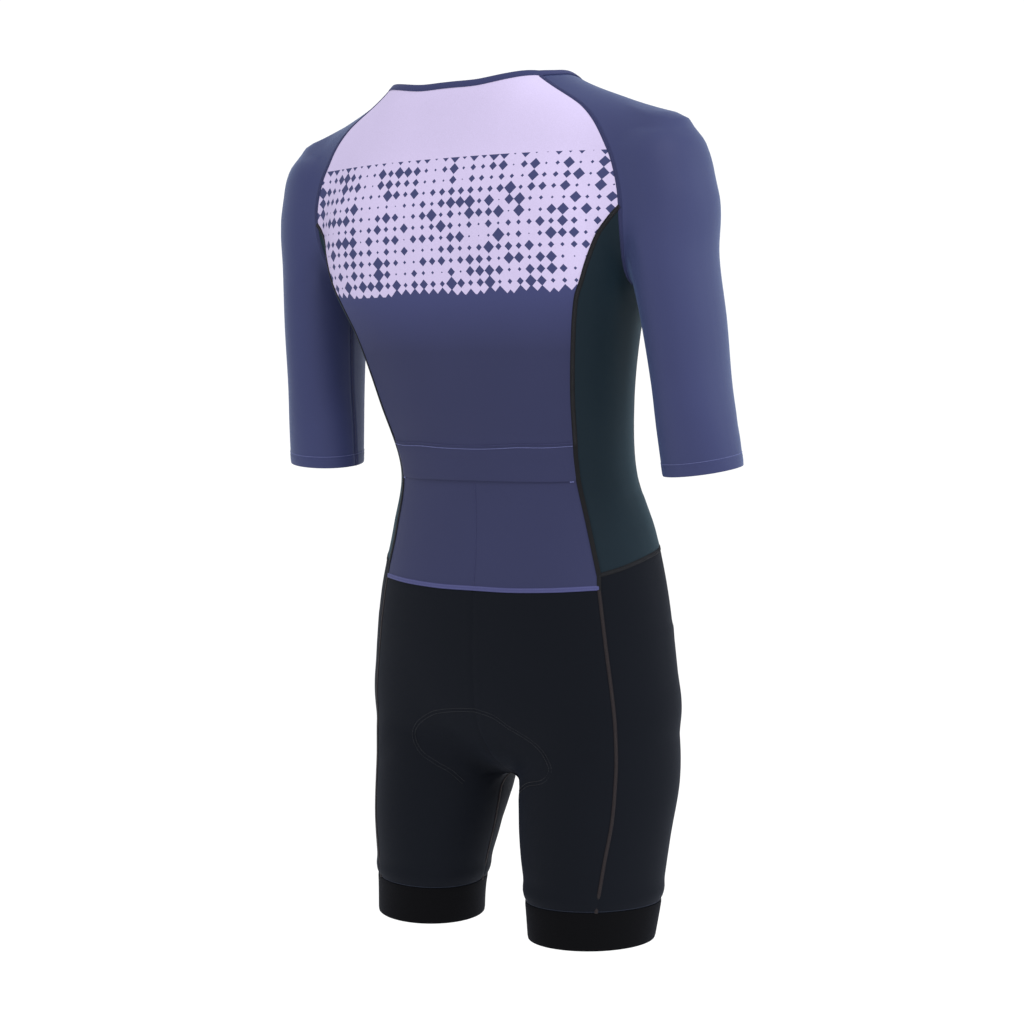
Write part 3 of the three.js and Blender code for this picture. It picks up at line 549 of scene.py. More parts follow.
def piece(name, points, faces, material, uvs=None, sharp=0.9, node=None, slot=None):
    """A mesh object from points in millimetres, quads, and named UV maps given per point."""
    mesh = bpy.data.meshes.new(name)
    points = np.asarray(points, float).reshape(-1, 3)
    mesh.vertices.add(len(points))
    mesh.vertices.foreach_set("co", (points * MM).astype(np.float32).ravel())
    loops = faces.ravel().astype(np.int32)
    mesh.loops.add(len(loops))
    mesh.loops.foreach_set("vertex_index", loops)
    mesh.polygons.add(len(faces))
    mesh.polygons.foreach_set("loop_start", np.arange(0, len(loops), 4, dtype=np.int32))
    mesh.polygons.foreach_set("use_smooth", np.ones(len(faces), dtype=bool))
    mesh.update(calc_edges=True)
    for uv_name, uv in (uvs or {}).items():
        layer = mesh.uv_layers.new(name=uv_name)
        layer.data.foreach_set("uv", np.asarray(uv, float).reshape(-1, 2)[loops].astype(np.float32).ravel())
    mesh.validate()
    mesh.set_sharp_from_angle(angle=sharp)
    thing = bpy.data.objects.new(name, mesh)
    bpy.context.scene.collection.objects.link(thing)
    mesh.materials.append(material)
    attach(thing, BODY)
    if node:
        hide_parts(*([node] if isinstance(node, str) else node))
    return thing


def shell(name, outer, inner, material, uvs, **said):
    """A thin closed cloth: the outer grid, the inner grid turned round, and a rim that joins them."""
    rows, columns = outer.shape[:2]
    half = rows * columns
    faces = grid_faces(rows, columns)
    inside = faces[:, ::-1] + half
    top = np.arange(columns)
    right = np.arange(rows) * columns + columns - 1
    bottom = (rows - 1) * columns + np.arange(columns)[::-1]
    left = (np.arange(rows) * columns)[::-1]
    loop = np.concatenate([top[:-1], right[:-1], bottom[:-1], left[:-1]])
    after = np.roll(loop, -1)
    rim = np.stack([loop, after, after + half, loop + half], -1)
    faces = np.concatenate([faces, inside, rim])
    j, i = rows // 2, columns // 2
    normal = np.cross(outer[j + 1, i] - outer[j, i], outer[j, i + 1] - outer[j, i])
    if normal @ (outer[j, i] - inner[j, i]) < 0:
        faces = faces[:, ::-1]
    both = {key: np.concatenate([uv.reshape(-1, 2)] * 2) for key, uv in uvs.items()}
    points = np.concatenate([outer.reshape(-1, 3), inner.reshape(-1, 3)])
    return piece(name, points, faces, material, both, **said)


def cloth_map(grid):
    """UV in millimetres: length along the rows from the middle column, and down the columns."""
    e = edge_distances(grid)
    middle = grid.shape[1] // 2
    return np.stack([e["l"] - e["l"][:, middle:middle + 1], -e["t"]], -1)


def panel(name, grid, material, node, slot, seams="lrtb", lift=None, relief=None, maps=None):
    """A cloth panel: the grid moved out by its folds, seam dips and lift, with a wall inside it."""
    normal = outward(grid)
    e = edge_distances(grid)
    height = folds_at(grid) + swell(grid)
    for side in seams:
        height = height + dip(e[side])
    if lift is not None:
        height = height + lift
    if relief is not None:
        height = height + relief
    outer = grid + normal * height[..., None]
    inner = outer - normal * WALL
    uvs = {"cloth": cloth_map(grid), **(maps or {})}
    made = shell(name, outer, inner, material, uvs, node=node, slot=slot)
    return made


class Finish:
    """A material whose nodes are added one call at a time."""

    def __init__(self, name, **constants):
        self.material = bpy.data.materials.new(name)
        self.material.use_nodes = True
        self.tree = self.material.node_tree
        self.shader = self.tree.nodes["Principled BSDF"]
        for socket, value in constants.items():
            self.shader.inputs[socket.replace("_", " ")].default_value = value

    def add(self, kind, inputs=None, **settings):
        node = self.tree.nodes.new("ShaderNode" + kind)
        for key, value in settings.items():
            setattr(node, key, value)
        for key, value in (inputs or {}).items():
            self.set(node.inputs[key], value)
        return node

    def set(self, socket, value):
        if isinstance(value, bpy.types.NodeSocket):
            self.tree.links.new(value, socket)
        else:
            socket.default_value = value

    def math(self, operation, a, b=0.0, c=0.0):
        node = self.add("Math", {0: a, 1: b, 2: c}, operation=operation)
        return node.outputs[0]

    def mix(self, factor, a, b):
        node = self.add("Mix", {0: factor, 6: a, 7: b}, data_type="RGBA")
        return node.outputs[2]

    def noise(self, scale, detail=2.0, coordinates=None, roughness=0.5):
        at = coordinates or self.add("TexCoord").outputs["Object"]
        inputs = {"Vector": at, "Scale": scale, "Detail": detail, "Roughness": roughness}
        return self.add("TexNoise", inputs).outputs["Fac"]

    def ramp(self, value, low, high):
        """Maps value from low..high to 0..1, held at both ends."""
        return self.add("MapRange", {0: value, 1: low, 2: high, 3: 0.0, 4: 1.0}).outputs[0]


def colour(r, g, b):
    """A colour from 0 to 255 in screen values, as the linear values that shaders take."""
    c = np.array([r, g, b]) / 255
    c = np.where(c <= 0.04045, c / 12.92, ((c + 0.055) / 1.055) ** 2.4)
    return (*(float(v) for v in c), 1.0)


def knit_height(f, wale, course, strength):
    """Jersey loops: rounded wales across, broken by courses that bend into a V in each wale."""
    uv = f.add("UVMap", uv_map="cloth").outputs[0]
    split = f.add("SeparateXYZ", {0: uv})
    u = f.math("DIVIDE", split.outputs[0], wale)
    v = f.math("DIVIDE", split.outputs[1], course)
    place = f.math("SUBTRACT", f.math("FRACT", u), 0.5)
    side = f.math("ABSOLUTE", place)
    bent = f.math("ADD", v, f.math("MULTIPLY", side, 1.1))
    loops = f.math("MULTIPLY", f.math("SINE", f.math("MULTIPLY", bent, 2 * np.pi)), 0.3)
    wales = f.math("COSINE", f.math("MULTIPLY", place, 2 * np.pi))
    return f.math("MULTIPLY", f.math("ADD", f.math("MULTIPLY", wales, 0.5), loops), strength)


def knit(name, base, dark=0.88, wale=0.8, course=0.6, strength=1.0, bump=0.16, rough=0.62, sheen=0.12,
         tint=(150, 165, 215), surface_colour=None, specular=0.15):
    """Fine stretch knit: loops in the bump, a faint heather and soft uneven dye in the colour."""
    f = Finish(name)
    f.shader.inputs["Sheen Weight"].default_value = sheen
    f.shader.inputs["Sheen Roughness"].default_value = 0.45
    f.shader.inputs["Sheen Tint"].default_value = colour(*tint)
    f.shader.inputs["Specular IOR Level"].default_value = specular
    plain = surface_colour(f) if surface_colour else base
    heather = f.ramp(f.noise(1400, 1.0), 0.3, 0.7)
    dye = f.ramp(f.noise(9, 2.0), 0.3, 0.7)
    shade = f.math("ADD", f.math("MULTIPLY", heather, 0.10), f.math("MULTIPLY", dye, 0.05))
    level = f.math("ADD", shade, dark)
    grey = f.add("CombineColor", {0: level, 1: level, 2: level}).outputs[0]
    tinted = f.add("Mix", {0: 1.0, 6: plain, 7: grey}, data_type="RGBA", blend_type="MULTIPLY").outputs[2]
    f.set(f.shader.inputs["Base Color"], tinted)
    rough_level = f.math("ADD", f.math("MULTIPLY", heather, 0.12), rough)
    f.set(f.shader.inputs["Roughness"], rough_level)
    height = f.math("ADD", knit_height(f, wale, course, strength), f.math("MULTIPLY", f.noise(900, 1.0), 0.5))
    bump_node = f.add("Bump", {"Strength": bump, "Distance": 0.0003, "Height": height})
    f.set(f.shader.inputs["Normal"], bump_node.outputs[0])
    return f.material


LILAC = colour(192, 181, 214)
# PRINT_NAVY is the band's navy. Below the band it fades down to the darker NAVY, and that fade is painted shade.
PRINT_NAVY = colour(58, 62, 102)
NAVY = colour(46, 49, 80)
SLEEVE_NAVY = colour(48, 53, 92)
TEAL = colour(19, 31, 39)
BLACK = colour(12, 15, 22)
GRIPPER_BLACK = colour(8, 8, 10)

# Printed band: diamonds on an upright square lattice, its pitch and top in millimetres
PRINT_PITCH = 11.05
PRINT_TOP_Z = -82.8
PRINT_ROWS = 12


def diamond(f, x, y, column, row):
    """How deep a point lies inside the diamond |x| + |y| < r of one site. r is drawn for the site,
    crowds with a slow noise, and is larger in the last row, where the plain cloth starts."""
    site = f.add("CombineXYZ", {0: column, 1: row, 2: 3.0}).outputs[0]
    draw = f.add("TexWhiteNoise", {"Vector": site}, noise_dimensions="3D").outputs["Value"]
    crowd = f.math("SUBTRACT", f.noise(0.33, 1.0, site), 0.5)
    size = f.math("ADD", f.math("MULTIPLY", f.math("POWER", draw, 1.2), 0.5), 0.09)
    size = f.math("ADD", size, f.math("MULTIPLY", crowd, 0.35))
    last = f.math("GREATER_THAN", row, PRINT_ROWS - 0.5)
    size = f.math("ADD", size, f.math("MULTIPLY", last, 0.2))
    size = f.math("MINIMUM", f.math("MAXIMUM", size, 0.07), 0.68)
    reach = f.math("ADD", f.math("ABSOLUTE", x), f.math("ABSOLUTE", y))
    return f.math("SUBTRACT", size, reach)


def printed(f):
    """Lilac yoke, then the band, then plain navy, from the print's UV map. A point is dark inside
    its own site's diamond or inside that of the nearest site beside, above or below. Below the band
    the navy fades from PRINT_NAVY to the darker NAVY over five rows: painted shade, darker towards the waist."""
    split = f.add("SeparateXYZ", {0: f.add("UVMap", uv_map="print").outputs[0]})
    u, v = split.outputs[0], split.outputs[1]
    column, row = f.math("ROUND", u), f.math("ROUND", v)
    x, y = f.math("SUBTRACT", u, column), f.math("SUBTRACT", v, row)
    beside, below = f.math("SIGN", x), f.math("SIGN", y)
    own = diamond(f, x, y, column, row)
    across = diamond(f, f.math("SUBTRACT", x, beside), y, f.math("ADD", column, beside), row)
    down = diamond(f, x, f.math("SUBTRACT", y, below), column, f.math("ADD", row, below))
    inside = f.math("GREATER_THAN", f.math("MAXIMUM", f.math("MAXIMUM", own, across), down), 0.0)
    dark = f.math("MAXIMUM", inside, f.math("GREATER_THAN", v, PRINT_ROWS))
    dark = f.math("MULTIPLY", dark, f.math("GREATER_THAN", v, 0.0))
    # Painted shade: below the band the navy darkens from PRINT_NAVY to NAVY over five rows, towards the waist.
    plain = f.mix(f.ramp(v, PRINT_ROWS, PRINT_ROWS + 5.0), PRINT_NAVY, NAVY)
    return f.mix(dark, LILAC, plain)


printed_knit = knit("printed_knit", LILAC, surface_colour=printed, sheen=0.06, bump=0.12)
navy_knit = knit("navy_knit", NAVY)
sleeve_knit = knit("sleeve_knit", SLEEVE_NAVY, sheen=0.25, tint=(150, 185, 235), rough=0.5, specular=0.22)
side_knit = knit("side_knit", TEAL, wale=1.1, course=1.1, bump=0.25, sheen=0.2, tint=(110, 170, 200), specular=0.1)
shorts_knit = knit("shorts_knit", BLACK, sheen=0.08, tint=(110, 125, 160), rough=0.7, specular=0.08)
gripper_knit = knit("gripper_knit", GRIPPER_BLACK, wale=1.6, course=0.7, sheen=0.03, rough=0.75, bump=0.3,
                    specular=0.05)
binding_knit = knit("binding_knit", colour(50, 54, 92))
strip_knit = knit("strip_knit", colour(68, 70, 112))
raglan_tape = knit("raglan_tape", colour(48, 52, 88), wale=0.9, course=1.2, bump=0.5, strength=1.4)
black_tape = knit("black_tape", colour(24, 24, 26), wale=0.9, course=1.2, bump=0.5, strength=1.4, sheen=0.05,
                  specular=0.1)
flatlock_tape = knit("flatlock_tape", colour(38, 33, 35), wale=0.9, course=1.2, bump=0.5, sheen=0.05, specular=0.1)
zip_tape = knit("zip_tape", colour(26, 27, 36), wale=0.9, course=0.9, sheen=0.05, specular=0.1)


def thread(name, base, sheen=0.1):
    """Twisted sewing thread: fine slanting plies in the bump."""
    f = Finish(name)
    f.shader.inputs["Sheen Weight"].default_value = sheen
    f.shader.inputs["Roughness"].default_value = 0.6
    f.shader.inputs["Specular IOR Level"].default_value = 0.15
    level = f.math("ADD", f.math("MULTIPLY", f.ramp(f.noise(2600, 1.0), 0.3, 0.7), 0.3), 0.78)
    grey = f.add("CombineColor", {0: level, 1: level, 2: level}).outputs[0]
    tinted = f.add("Mix", {0: 1.0, 6: base, 7: grey}, data_type="RGBA", blend_type="MULTIPLY").outputs[2]
    f.set(f.shader.inputs["Base Color"], tinted)
    ply = f.add("TexWave", {"Vector": f.add("TexCoord").outputs["Object"], "Scale": 900.0, "Distortion": 1.0},
                bands_direction="DIAGONAL").outputs["Fac"]
    f.set(f.shader.inputs["Normal"], f.add("Bump", {"Strength": 0.4, "Distance": 0.0002, "Height": ply}).outputs[0])
    return f.material


light_thread = thread("light_thread", colour(118, 124, 178))
navy_thread = thread("navy_thread", colour(58, 62, 104))
grey_thread = thread("grey_thread", colour(48, 48, 52))
brown_thread = thread("brown_thread", colour(46, 40, 42))
black_thread = thread("black_thread", colour(34, 36, 42))
strip_thread = thread("strip_thread", colour(102, 106, 156))
gripper_thread = thread("gripper_thread", colour(40, 48, 66))


# Seam trims, carried along a path of points on the form
def frames(path, lift=0.0):
    """Tangent, outward normal and sideways direction at each point of a path."""
    tangent = unit(np.gradient(path, axis=0))
    normal = outward(path)
    normal = unit(normal - tangent * (normal * tangent).sum(-1, keepdims=True))
    return tangent, normal, np.cross(tangent, normal)


def resampled(path, step):
    return evenly(path, max(4, int(round(arc(path)[-1] / step))))


def band(name, path, width, height, material, base=0.0, lift=None, slot=None, node=None, sideways=0.0):
    """A flat strip with rounded edges carried along a path: its section is the closed loop
    (width/2 cos a, height sin a), squared off, and it stands base above the form."""
    path = resampled(path, 1.6)
    tangent, normal, side = frames(path)
    angle = np.linspace(0, 2 * np.pi, 13)[:-1]
    c, s = np.cos(angle), np.sin(angle)
    x = width / 2 * np.sign(c) * np.abs(c) ** 0.6
    y = height * np.sign(s) * np.abs(s) ** 0.6
    rise = base if lift is None else base + lift(path)
    rise = np.broadcast_to(rise, (len(path),))
    points = (path[:, None] + side[:, None] * (x[None, :, None] + sideways)
              + normal[:, None] * (y[None, :, None] + rise[:, None, None]))
    run = arc(path)
    uv = np.stack(np.broadcast_arrays(x[None], run[:, None]), -1)
    return tube_mesh(name, points, material, uv, slot=slot, node=node)


def tube_mesh(name, rings, material, uv=None, **said):
    """A closed tube through rings of points, with a flat end on each of its two last rings."""
    rows, columns = rings.shape[:2]
    faces = grid_faces(rows, columns, round_columns=True)
    caps = []
    for start, flip in ((0, False), ((rows - 1) * columns, True)):
        ring = start + np.arange(columns)
        half = columns // 2
        quads = np.stack([ring[:half - 1], ring[1:half], ring[::-1][1:half], ring[::-1][:half - 1]], -1)
        caps.append(quads[:, ::-1] if flip else quads)
    faces = np.concatenate([faces, *caps])
    j = rows // 2
    centre = rings[j].mean(0)
    normal = np.cross(rings[j + 1, 0] - rings[j, 0], rings[j, 1] - rings[j, 0])
    if normal @ (rings[j, 0] - centre) < 0:
        faces = faces[:, ::-1]
    uvs = {"cloth": uv if uv is not None else np.zeros((*rings.shape[:2], 2))}
    return piece(name, rings, faces, material, uvs, **said)


def zigzag(path, reach, pitch, radius, rise, name, material, lift=None):
    """One thread that crosses a seam from side to side, reach each way, once every pitch."""
    total = arc(path)[-1]
    turns = max(2, int(total / pitch))
    centre = evenly(path, turns * 2)
    _, normal, side = frames(centre)
    swing = np.where(np.arange(len(centre)) % 2, reach, -reach)[:, None]
    up = rise if lift is None else rise + lift(centre)[:, None]
    line = centre + side * swing + normal * up
    fine = evenly(line, turns * 4)
    return thread_tube(name, fine, radius, material)


def thread_tube(name, line, radius, material, sides=5):
    tangent = unit(np.gradient(line, axis=0))
    normal = outward(line)
    normal = unit(normal - tangent * (normal * tangent).sum(-1, keepdims=True))
    side = np.cross(tangent, normal)
    a = np.linspace(0, 2 * np.pi, sides + 1)[:-1]
    rings = (line[:, None] + radius * (np.cos(a)[None, :, None] * side[:, None]
                                       + np.sin(a)[None, :, None] * normal[:, None]))
    faces = grid_faces(len(line), sides, round_columns=True)
    return piece(name, rings, faces[:, ::-1], material, {"cloth": np.zeros((*rings.shape[:2], 2))}, sharp=3.2)


def stitches(name, path, pitch, stitch, radius, material, rise=0.3, sideways=0.0, lift=None, wander=0.0):
    """Separate stitches along a path. Each is a short arc of thread whose ends dive into the cloth:
    height rise (1 - (2t - 1)^4) for t from 0 to 1 along it."""
    fine = resampled(path, 0.8)
    run = arc(fine)
    count = max(2, int(run[-1] / pitch))
    starts = (np.arange(count) + 0.5) * run[-1] / count - stitch / 2
    t = np.linspace(0, 1, 6)
    at = np.clip(starts[:, None] + stitch * t[None], 0, run[-1])
    centre = np.stack([np.interp(at, run, fine[:, k]) for k in range(3)], -1)
    _, normal, side = frames(fine)
    normal = np.stack([np.interp(at, run, normal[:, k]) for k in range(3)], -1)
    side = np.stack([np.interp(at, run, side[:, k]) for k in range(3)], -1)
    drift = wander * np.sin(at / 23.0) + wander * 0.6 * np.sin(at / 9.0 + 1.3)
    up = rise * (1 - (2 * t[None] - 1) ** 4) - 0.25
    if lift is not None:
        up = up + lift(centre)
    line = centre + side * (sideways + drift)[..., None] + normal * up[..., None]
    sides = 5
    a = np.linspace(0, 2 * np.pi, sides + 1)[:-1]
    rings = line[:, :, None] + radius * (
        np.cos(a)[:, None] * side[:, :, None] + np.sin(a)[:, None] * normal[:, :, None])
    faces = grid_faces(6, sides, round_columns=True)
    all_faces = (faces[None] + (np.arange(count) * 6 * sides)[:, None, None]).reshape(-1, 4)
    points = rings.reshape(-1, 3)
    return piece(name, points, all_faces[:, ::-1], material, {"cloth": np.zeros((len(points), 2))}, sharp=3.2)


def both_sides(make, name, path, *rest, **said):
    """The same trim on the wearer's left and right."""
    make(f"{name}_left", path, *rest, **said)
    make(f"{name}_right", mirrored(path)[::-1], *rest, **said)


# The flap over the pocket stands off it, and is drawn down into the side seams
def flap_lift_at(p, ease=None):
    rise = FLAP_LIFT * smooth((FLAP_TOP_Z - p[..., 2]) / (FLAP_TOP_Z - FLAP_FULL_Z))
    return rise if ease is None else rise * ease


def back_relief(grid):
    e = edge_distances(grid)
    near_side = np.minimum(e["l"], e["r"])
    ease = 0.25 + 0.75 * smooth(near_side / FLAP_EDGE_EASE)
    hem = 0.35 * smooth((35 - e["b"]) / 3)
    waves = 0.25 * np.sin(grid[..., 0] / 13.0 + 0.8) * np.exp(-((e["b"] - 33) / 7) ** 2)
    middle = np.exp(-((grid[..., 0] - 12) / 30) ** 2)
    waves = waves - 0.22 * middle * (np.exp(-((e["b"] - 26) / 1.3) ** 2) + np.exp(-((e["b"] - 22) / 1.2) ** 2))
    roll = -0.5 * np.exp(-(e["b"] / 1.2) ** 2)
    return flap_lift_at(grid, ease) + hem * smooth(near_side / 4) + waves + roll


def print_map(grid):
    """Repeats across and down: across is length along a level line on the form from the middle of
    the back, and down is height below the band's top."""
    levels = np.linspace(20, -420, 89)
    angles = np.linspace(np.pi / 2, -0.35, 90)
    z = np.repeat(levels[:, None], len(angles), 1)
    radius = np.full(z.shape, 90.0)
    for _ in range(10):
        c = np.stack([np.broadcast_to(angles, z.shape), z, radius], -1)
        d = surface(TORSO_CHART[1](c))
        radius = radius - np.clip(d, -12, 12)
    line = TORSO_CHART[1](np.stack([np.broadcast_to(angles, z.shape), z, radius], -1))
    run = np.cumsum(np.pad(length(np.diff(line, axis=1)), ((0, 0), (1, 0))), 1)
    c = TORSO_CHART[0](np.where(grid[..., :1] < 0, mirrored(grid), grid))
    row = np.clip((levels[0] - c[..., 1]) / (levels[0] - levels[1]), 0, len(levels) - 1.001)
    column = np.clip((angles[0] - c[..., 0]) / (angles[0] - angles[1]), 0, len(angles) - 1.001)
    j, i = row.astype(int), column.astype(int)
    a, b = row - j, column - i
    across = ((1 - a) * ((1 - b) * run[j, i] + b * run[j, i + 1])
              + a * ((1 - b) * run[j + 1, i] + b * run[j + 1, i + 1]))
    u = np.sign(grid[..., 0]) * across / PRINT_PITCH + 0.27
    v = (PRINT_TOP_Z - grid[..., 2]) / PRINT_PITCH
    return np.stack([u, v], -1)


panel("cloth_back_upper", back_upper, printed_knit, "back_upper", "body_cloth", seams="lr",
      relief=back_relief(back_upper), maps={"print": print_map(back_upper)})

pocket_edges = edge_distances(back_pocket)
tuck = fill(
    whole(seam([(0, 31, -386), (50, 27, -386), (107, 6, -385)], BACK)), whole(flap_edge),
    mirrored(seam([(107, 6, -385), SIDE_POCKET[0]], 4)), seam([(107, 6, -385), SIDE_POCKET[0]], 4),
    TORSO_CHART, np.pi * 0.8)
pocket_grid = np.concatenate([tuck, back_pocket[1:]])
pocket_relief = -0.35 * np.exp(-(pocket_grid[..., 0] / 1.4) ** 2)
panel("cloth_back_pocket", pocket_grid, navy_knit, "back_pocket", "body_cloth", seams="lr",
      relief=pocket_relief - 0.05)

for side_name, view_of in (("left", lambda g: g), ("right", turned)):
    panel(f"cloth_side_{side_name}", view_of(side_panel), side_knit, f"side_{side_name}", "side_cloth")
    panel(f"cloth_front_{side_name}", view_of(front_panel), navy_knit, f"front_{side_name}", "body_cloth")
    sleeve_edges = edge_distances(view_of(sleeve))
    hem_relief = 0.3 * smooth((12.5 - sleeve_edges["b"]) / 1.5) - 0.4 * np.exp(-(sleeve_edges["b"] / 0.8) ** 2)
    panel(f"cloth_sleeve_{side_name}", view_of(sleeve), sleeve_knit, f"sleeve_{side_name}", "sleeve_cloth",
          seams="lrt", relief=hem_relief)
    panel(f"cloth_shorts_back_{side_name}", view_of(shorts_back), shorts_knit, f"shorts_back_{side_name}",
          "shorts_cloth")
    panel(f"cloth_shorts_front_{side_name}", view_of(shorts_front), shorts_knit, f"shorts_front_{side_name}",
          "shorts_cloth")


# Grippers: a wide smooth elastic band round each leg, doubled at the hem
def gripper(name, ring, node):
    """A wall carried round the leg. Down the outside it goes from the seam to the hem, round the
    hem, and up the inside; both faces follow the form."""
    depth = np.concatenate([np.linspace(0, 1, 15), np.linspace(1, 0, 15)])
    stand = np.concatenate([np.full(15, 0.45), np.full(15, -1.0)])
    stand[[0, 14, 15, 29]] = [0.1, 0.1, -0.75, -0.75]
    low = np.column_stack([ring[:, :2], np.full(len(ring), HEM_Z)])
    rows = []
    for t, s in zip(depth, stand):
        p = settle(ring * (1 - t) + low * t, 4)
        p[:, 2] = ring[:, 2] * (1 - t) + low[:, 2] * t
        rows.append(p + outward(p) * s)
    grid = np.array(rows)[:, :-1]
    faces = grid_faces(*grid.shape[:2], round_rows=True, round_columns=True)
    normal = np.cross(grid[1, 0] - grid[0, 0], grid[0, 1] - grid[0, 0])
    if normal @ outward(grid[0, 0][None])[0] < 0:
        faces = faces[:, ::-1]
    run = np.cumsum(np.pad(length(np.diff(grid[0], axis=0)), (1, 0)))
    down = np.cumsum(np.pad(length(np.diff(grid[:, 0], axis=0)), (1, 0)))
    uv = np.stack(np.broadcast_arrays(down[:, None], run[None]), -1)
    made = piece(name, grid, faces, gripper_knit, {"cloth": uv}, node=node, slot="elastic")
    return made


gripper("elastic_gripper_left", gripper_top, "leg_gripper_left")
gripper("elastic_gripper_right", mirrored(gripper_top)[::-1], "leg_gripper_right")


def neck_binding():
    """A folded strip carried round the neck. Its section is a rounded bar, flat against the cloth,
    whose outside stands proud and rolls over the top edge."""
    half = joined(neck_front[::-1], neck_side[::-1], neck_back[::-1])
    low = joined(half, mirrored(half[::-1]))
    low = evenly(low, 280)
    normal = outward(low)
    tangent = unit(np.gradient(low, axis=0))
    up = np.cross(normal, tangent)
    up = np.where(up[:, 2:] < 0, -up, up)
    rise = np.array([0.0, 2.2, 4.5, 6.2, 7.0, 7.0, 6.3, 4.5, 2.2, 0.0])
    out = np.array([0.55, 0.85, 0.9, 0.75, 0.15, -1.0, -1.65, -1.8, -1.8, -1.5])
    rings = []
    for r, o in zip(rise, out):
        p = settle(low + up * r, 4)
        rings.append(p + outward(p) * o)
    down = np.cumsum(np.abs(np.gradient(rise)))
    uv = np.stack(np.broadcast_arrays(down[None], arc(low)[:, None]), -1)
    made = tube_mesh("binding_neck", np.array(rings).transpose(1, 0, 2), binding_knit, uv=uv,
                     node="neck_binding", slot="body_cloth")
    return made, low, up


binding, neck_line, neck_up = neck_binding()

# Seam tapes and their threads
raglan_and_armhole_back = joined(raglan_back, armhole_back)
raglan_and_armhole_front = joined(raglan_front, armhole_front[::-1])
side_line = joined(side_back, side_flap, side_pocket)
flap_seam_lift = lambda p: 0.25 * flap_lift_at(p)

for label, path in (("raglan_back", raglan_and_armhole_back), ("raglan_front", raglan_and_armhole_front)):
    both_sides(band, f"tape_{label}", path, 4.0, 0.32, raglan_tape, base=0.05, slot="body_cloth")


def seam_threads(label, path, reach, material, rise=0.42, pitch=1.7, radius=0.2):
    for side_name, line in (("left", path), ("right", mirrored(path)[::-1])):
        zigzag(line, reach, pitch, radius, rise, f"thread_{label}_{side_name}", material)


seam_threads("raglan_back", raglan_and_armhole_back, 1.5, navy_thread)
seam_threads("raglan_front", raglan_and_armhole_front, 1.5, navy_thread)
both_sides(band, "tape_side_back", side_line, 4.6, 0.38, black_tape, base=0.1, lift=flap_seam_lift, slot="body_cloth")
both_sides(band, "tape_side_front", side_front, 4.6, 0.38, black_tape, base=0.1, slot="body_cloth")
both_sides(band, "tape_waist_side", joined(side_corner[::-1], waist_side), 4.2, 0.38, black_tape, base=0.12,
           slot="body_cloth")
both_sides(band, "tape_waist_front", waist_front, 4.2, 0.38, black_tape, base=0.1, slot="body_cloth")
seam_threads("side_back", side_line, 1.8, grey_thread, rise=0.55)
seam_threads("side_front", side_front, 1.8, grey_thread, rise=0.5)
seam_threads("waist_side", waist_side, 1.6, black_thread, rise=0.5)
seam_threads("waist_front", waist_front, 1.6, black_thread, rise=0.5)
both_sides(band, "tape_flatlock", flatlock, 3.6, 0.3, flatlock_tape, base=0.05, slot="shorts_cloth")
seam_threads("flatlock", flatlock, 1.5, brown_thread, rise=0.38, pitch=1.5, radius=0.24)
both_sides(band, "tape_inseam", inseam, 3.6, 0.3, flatlock_tape, base=0.05, slot="shorts_cloth")
seam_threads("inseam", inseam, 1.5, brown_thread, rise=0.38, pitch=1.5, radius=0.24)

# Pocket hem strip along the waist
waist_whole = whole(waist_back)
strip_path = settle(waist_whole + np.array([0, 0, 2.3]))
band("strip_pocket_hem", strip_path, 4.8, 0.42, strip_knit, base=0.12, slot="body_cloth")

# Hem and cover stitches
FLAP_STITCH = [(0, 38, -364), (30, 39, -364), (62, 34, -363), (93, 22, -362), (106, 14, -361)]
flap_stitch = whole(seam(FLAP_STITCH, 60))
stitches("stitch_flap_hem", flap_stitch, 2.6, 2.2, 0.26, light_thread, rise=0.55, wander=0.35,
         lift=lambda p: flap_lift_at(p) + 0.2)
stitches("stitch_flap_hem_low", flap_stitch, 2.6, 2.2, 0.22, navy_thread, rise=0.5, sideways=3.4,
         lift=lambda p: flap_lift_at(p) + 0.2, wander=0.3)
for k, low_by in enumerate((1.0, 3.6)):
    line = settle(waist_whole + np.array([0, 0, low_by]))
    stitches(f"stitch_pocket_hem_{k}", line, 2.4, 1.7, 0.17, strip_thread, rise=0.45, lift=lambda p: 0.42)
divider = seam([(0, 29, -400), (0, 26, -450), (0, 31, -503)], 60)
stitches("stitch_pocket_divider", divider, 2.4, 1.9, 0.17, navy_thread, rise=0.28)


def level_line(grid, d_from_bottom):
    """The line on a grid that lies a given length above its bottom edge."""
    e = edge_distances(grid)["b"]
    columns = []
    for i in range(grid.shape[1]):
        columns.append([np.interp(d_from_bottom, e[::-1, i], grid[::-1, i, k]) for k in range(3)])
    return np.array(columns)


cuff_line = level_line(sleeve, 12.5)
cuff_line_low = level_line(sleeve, 9.0)
for k, (line, material) in enumerate(((cuff_line, light_thread), (cuff_line_low, navy_thread))):
    both_sides(stitches, f"stitch_cuff_{k}", line, 2.6, 2.0, 0.18, material, rise=0.35, lift=lambda p: 0.25)
under_line = sleeve[:, 0]
both_sides(band, "tape_underarm", under_line, 3.0, 0.22, raglan_tape, base=0.0, slot="sleeve_cloth")
seam_threads("underarm", under_line, 1.2, navy_thread, rise=0.25, pitch=1.6, radius=0.18)

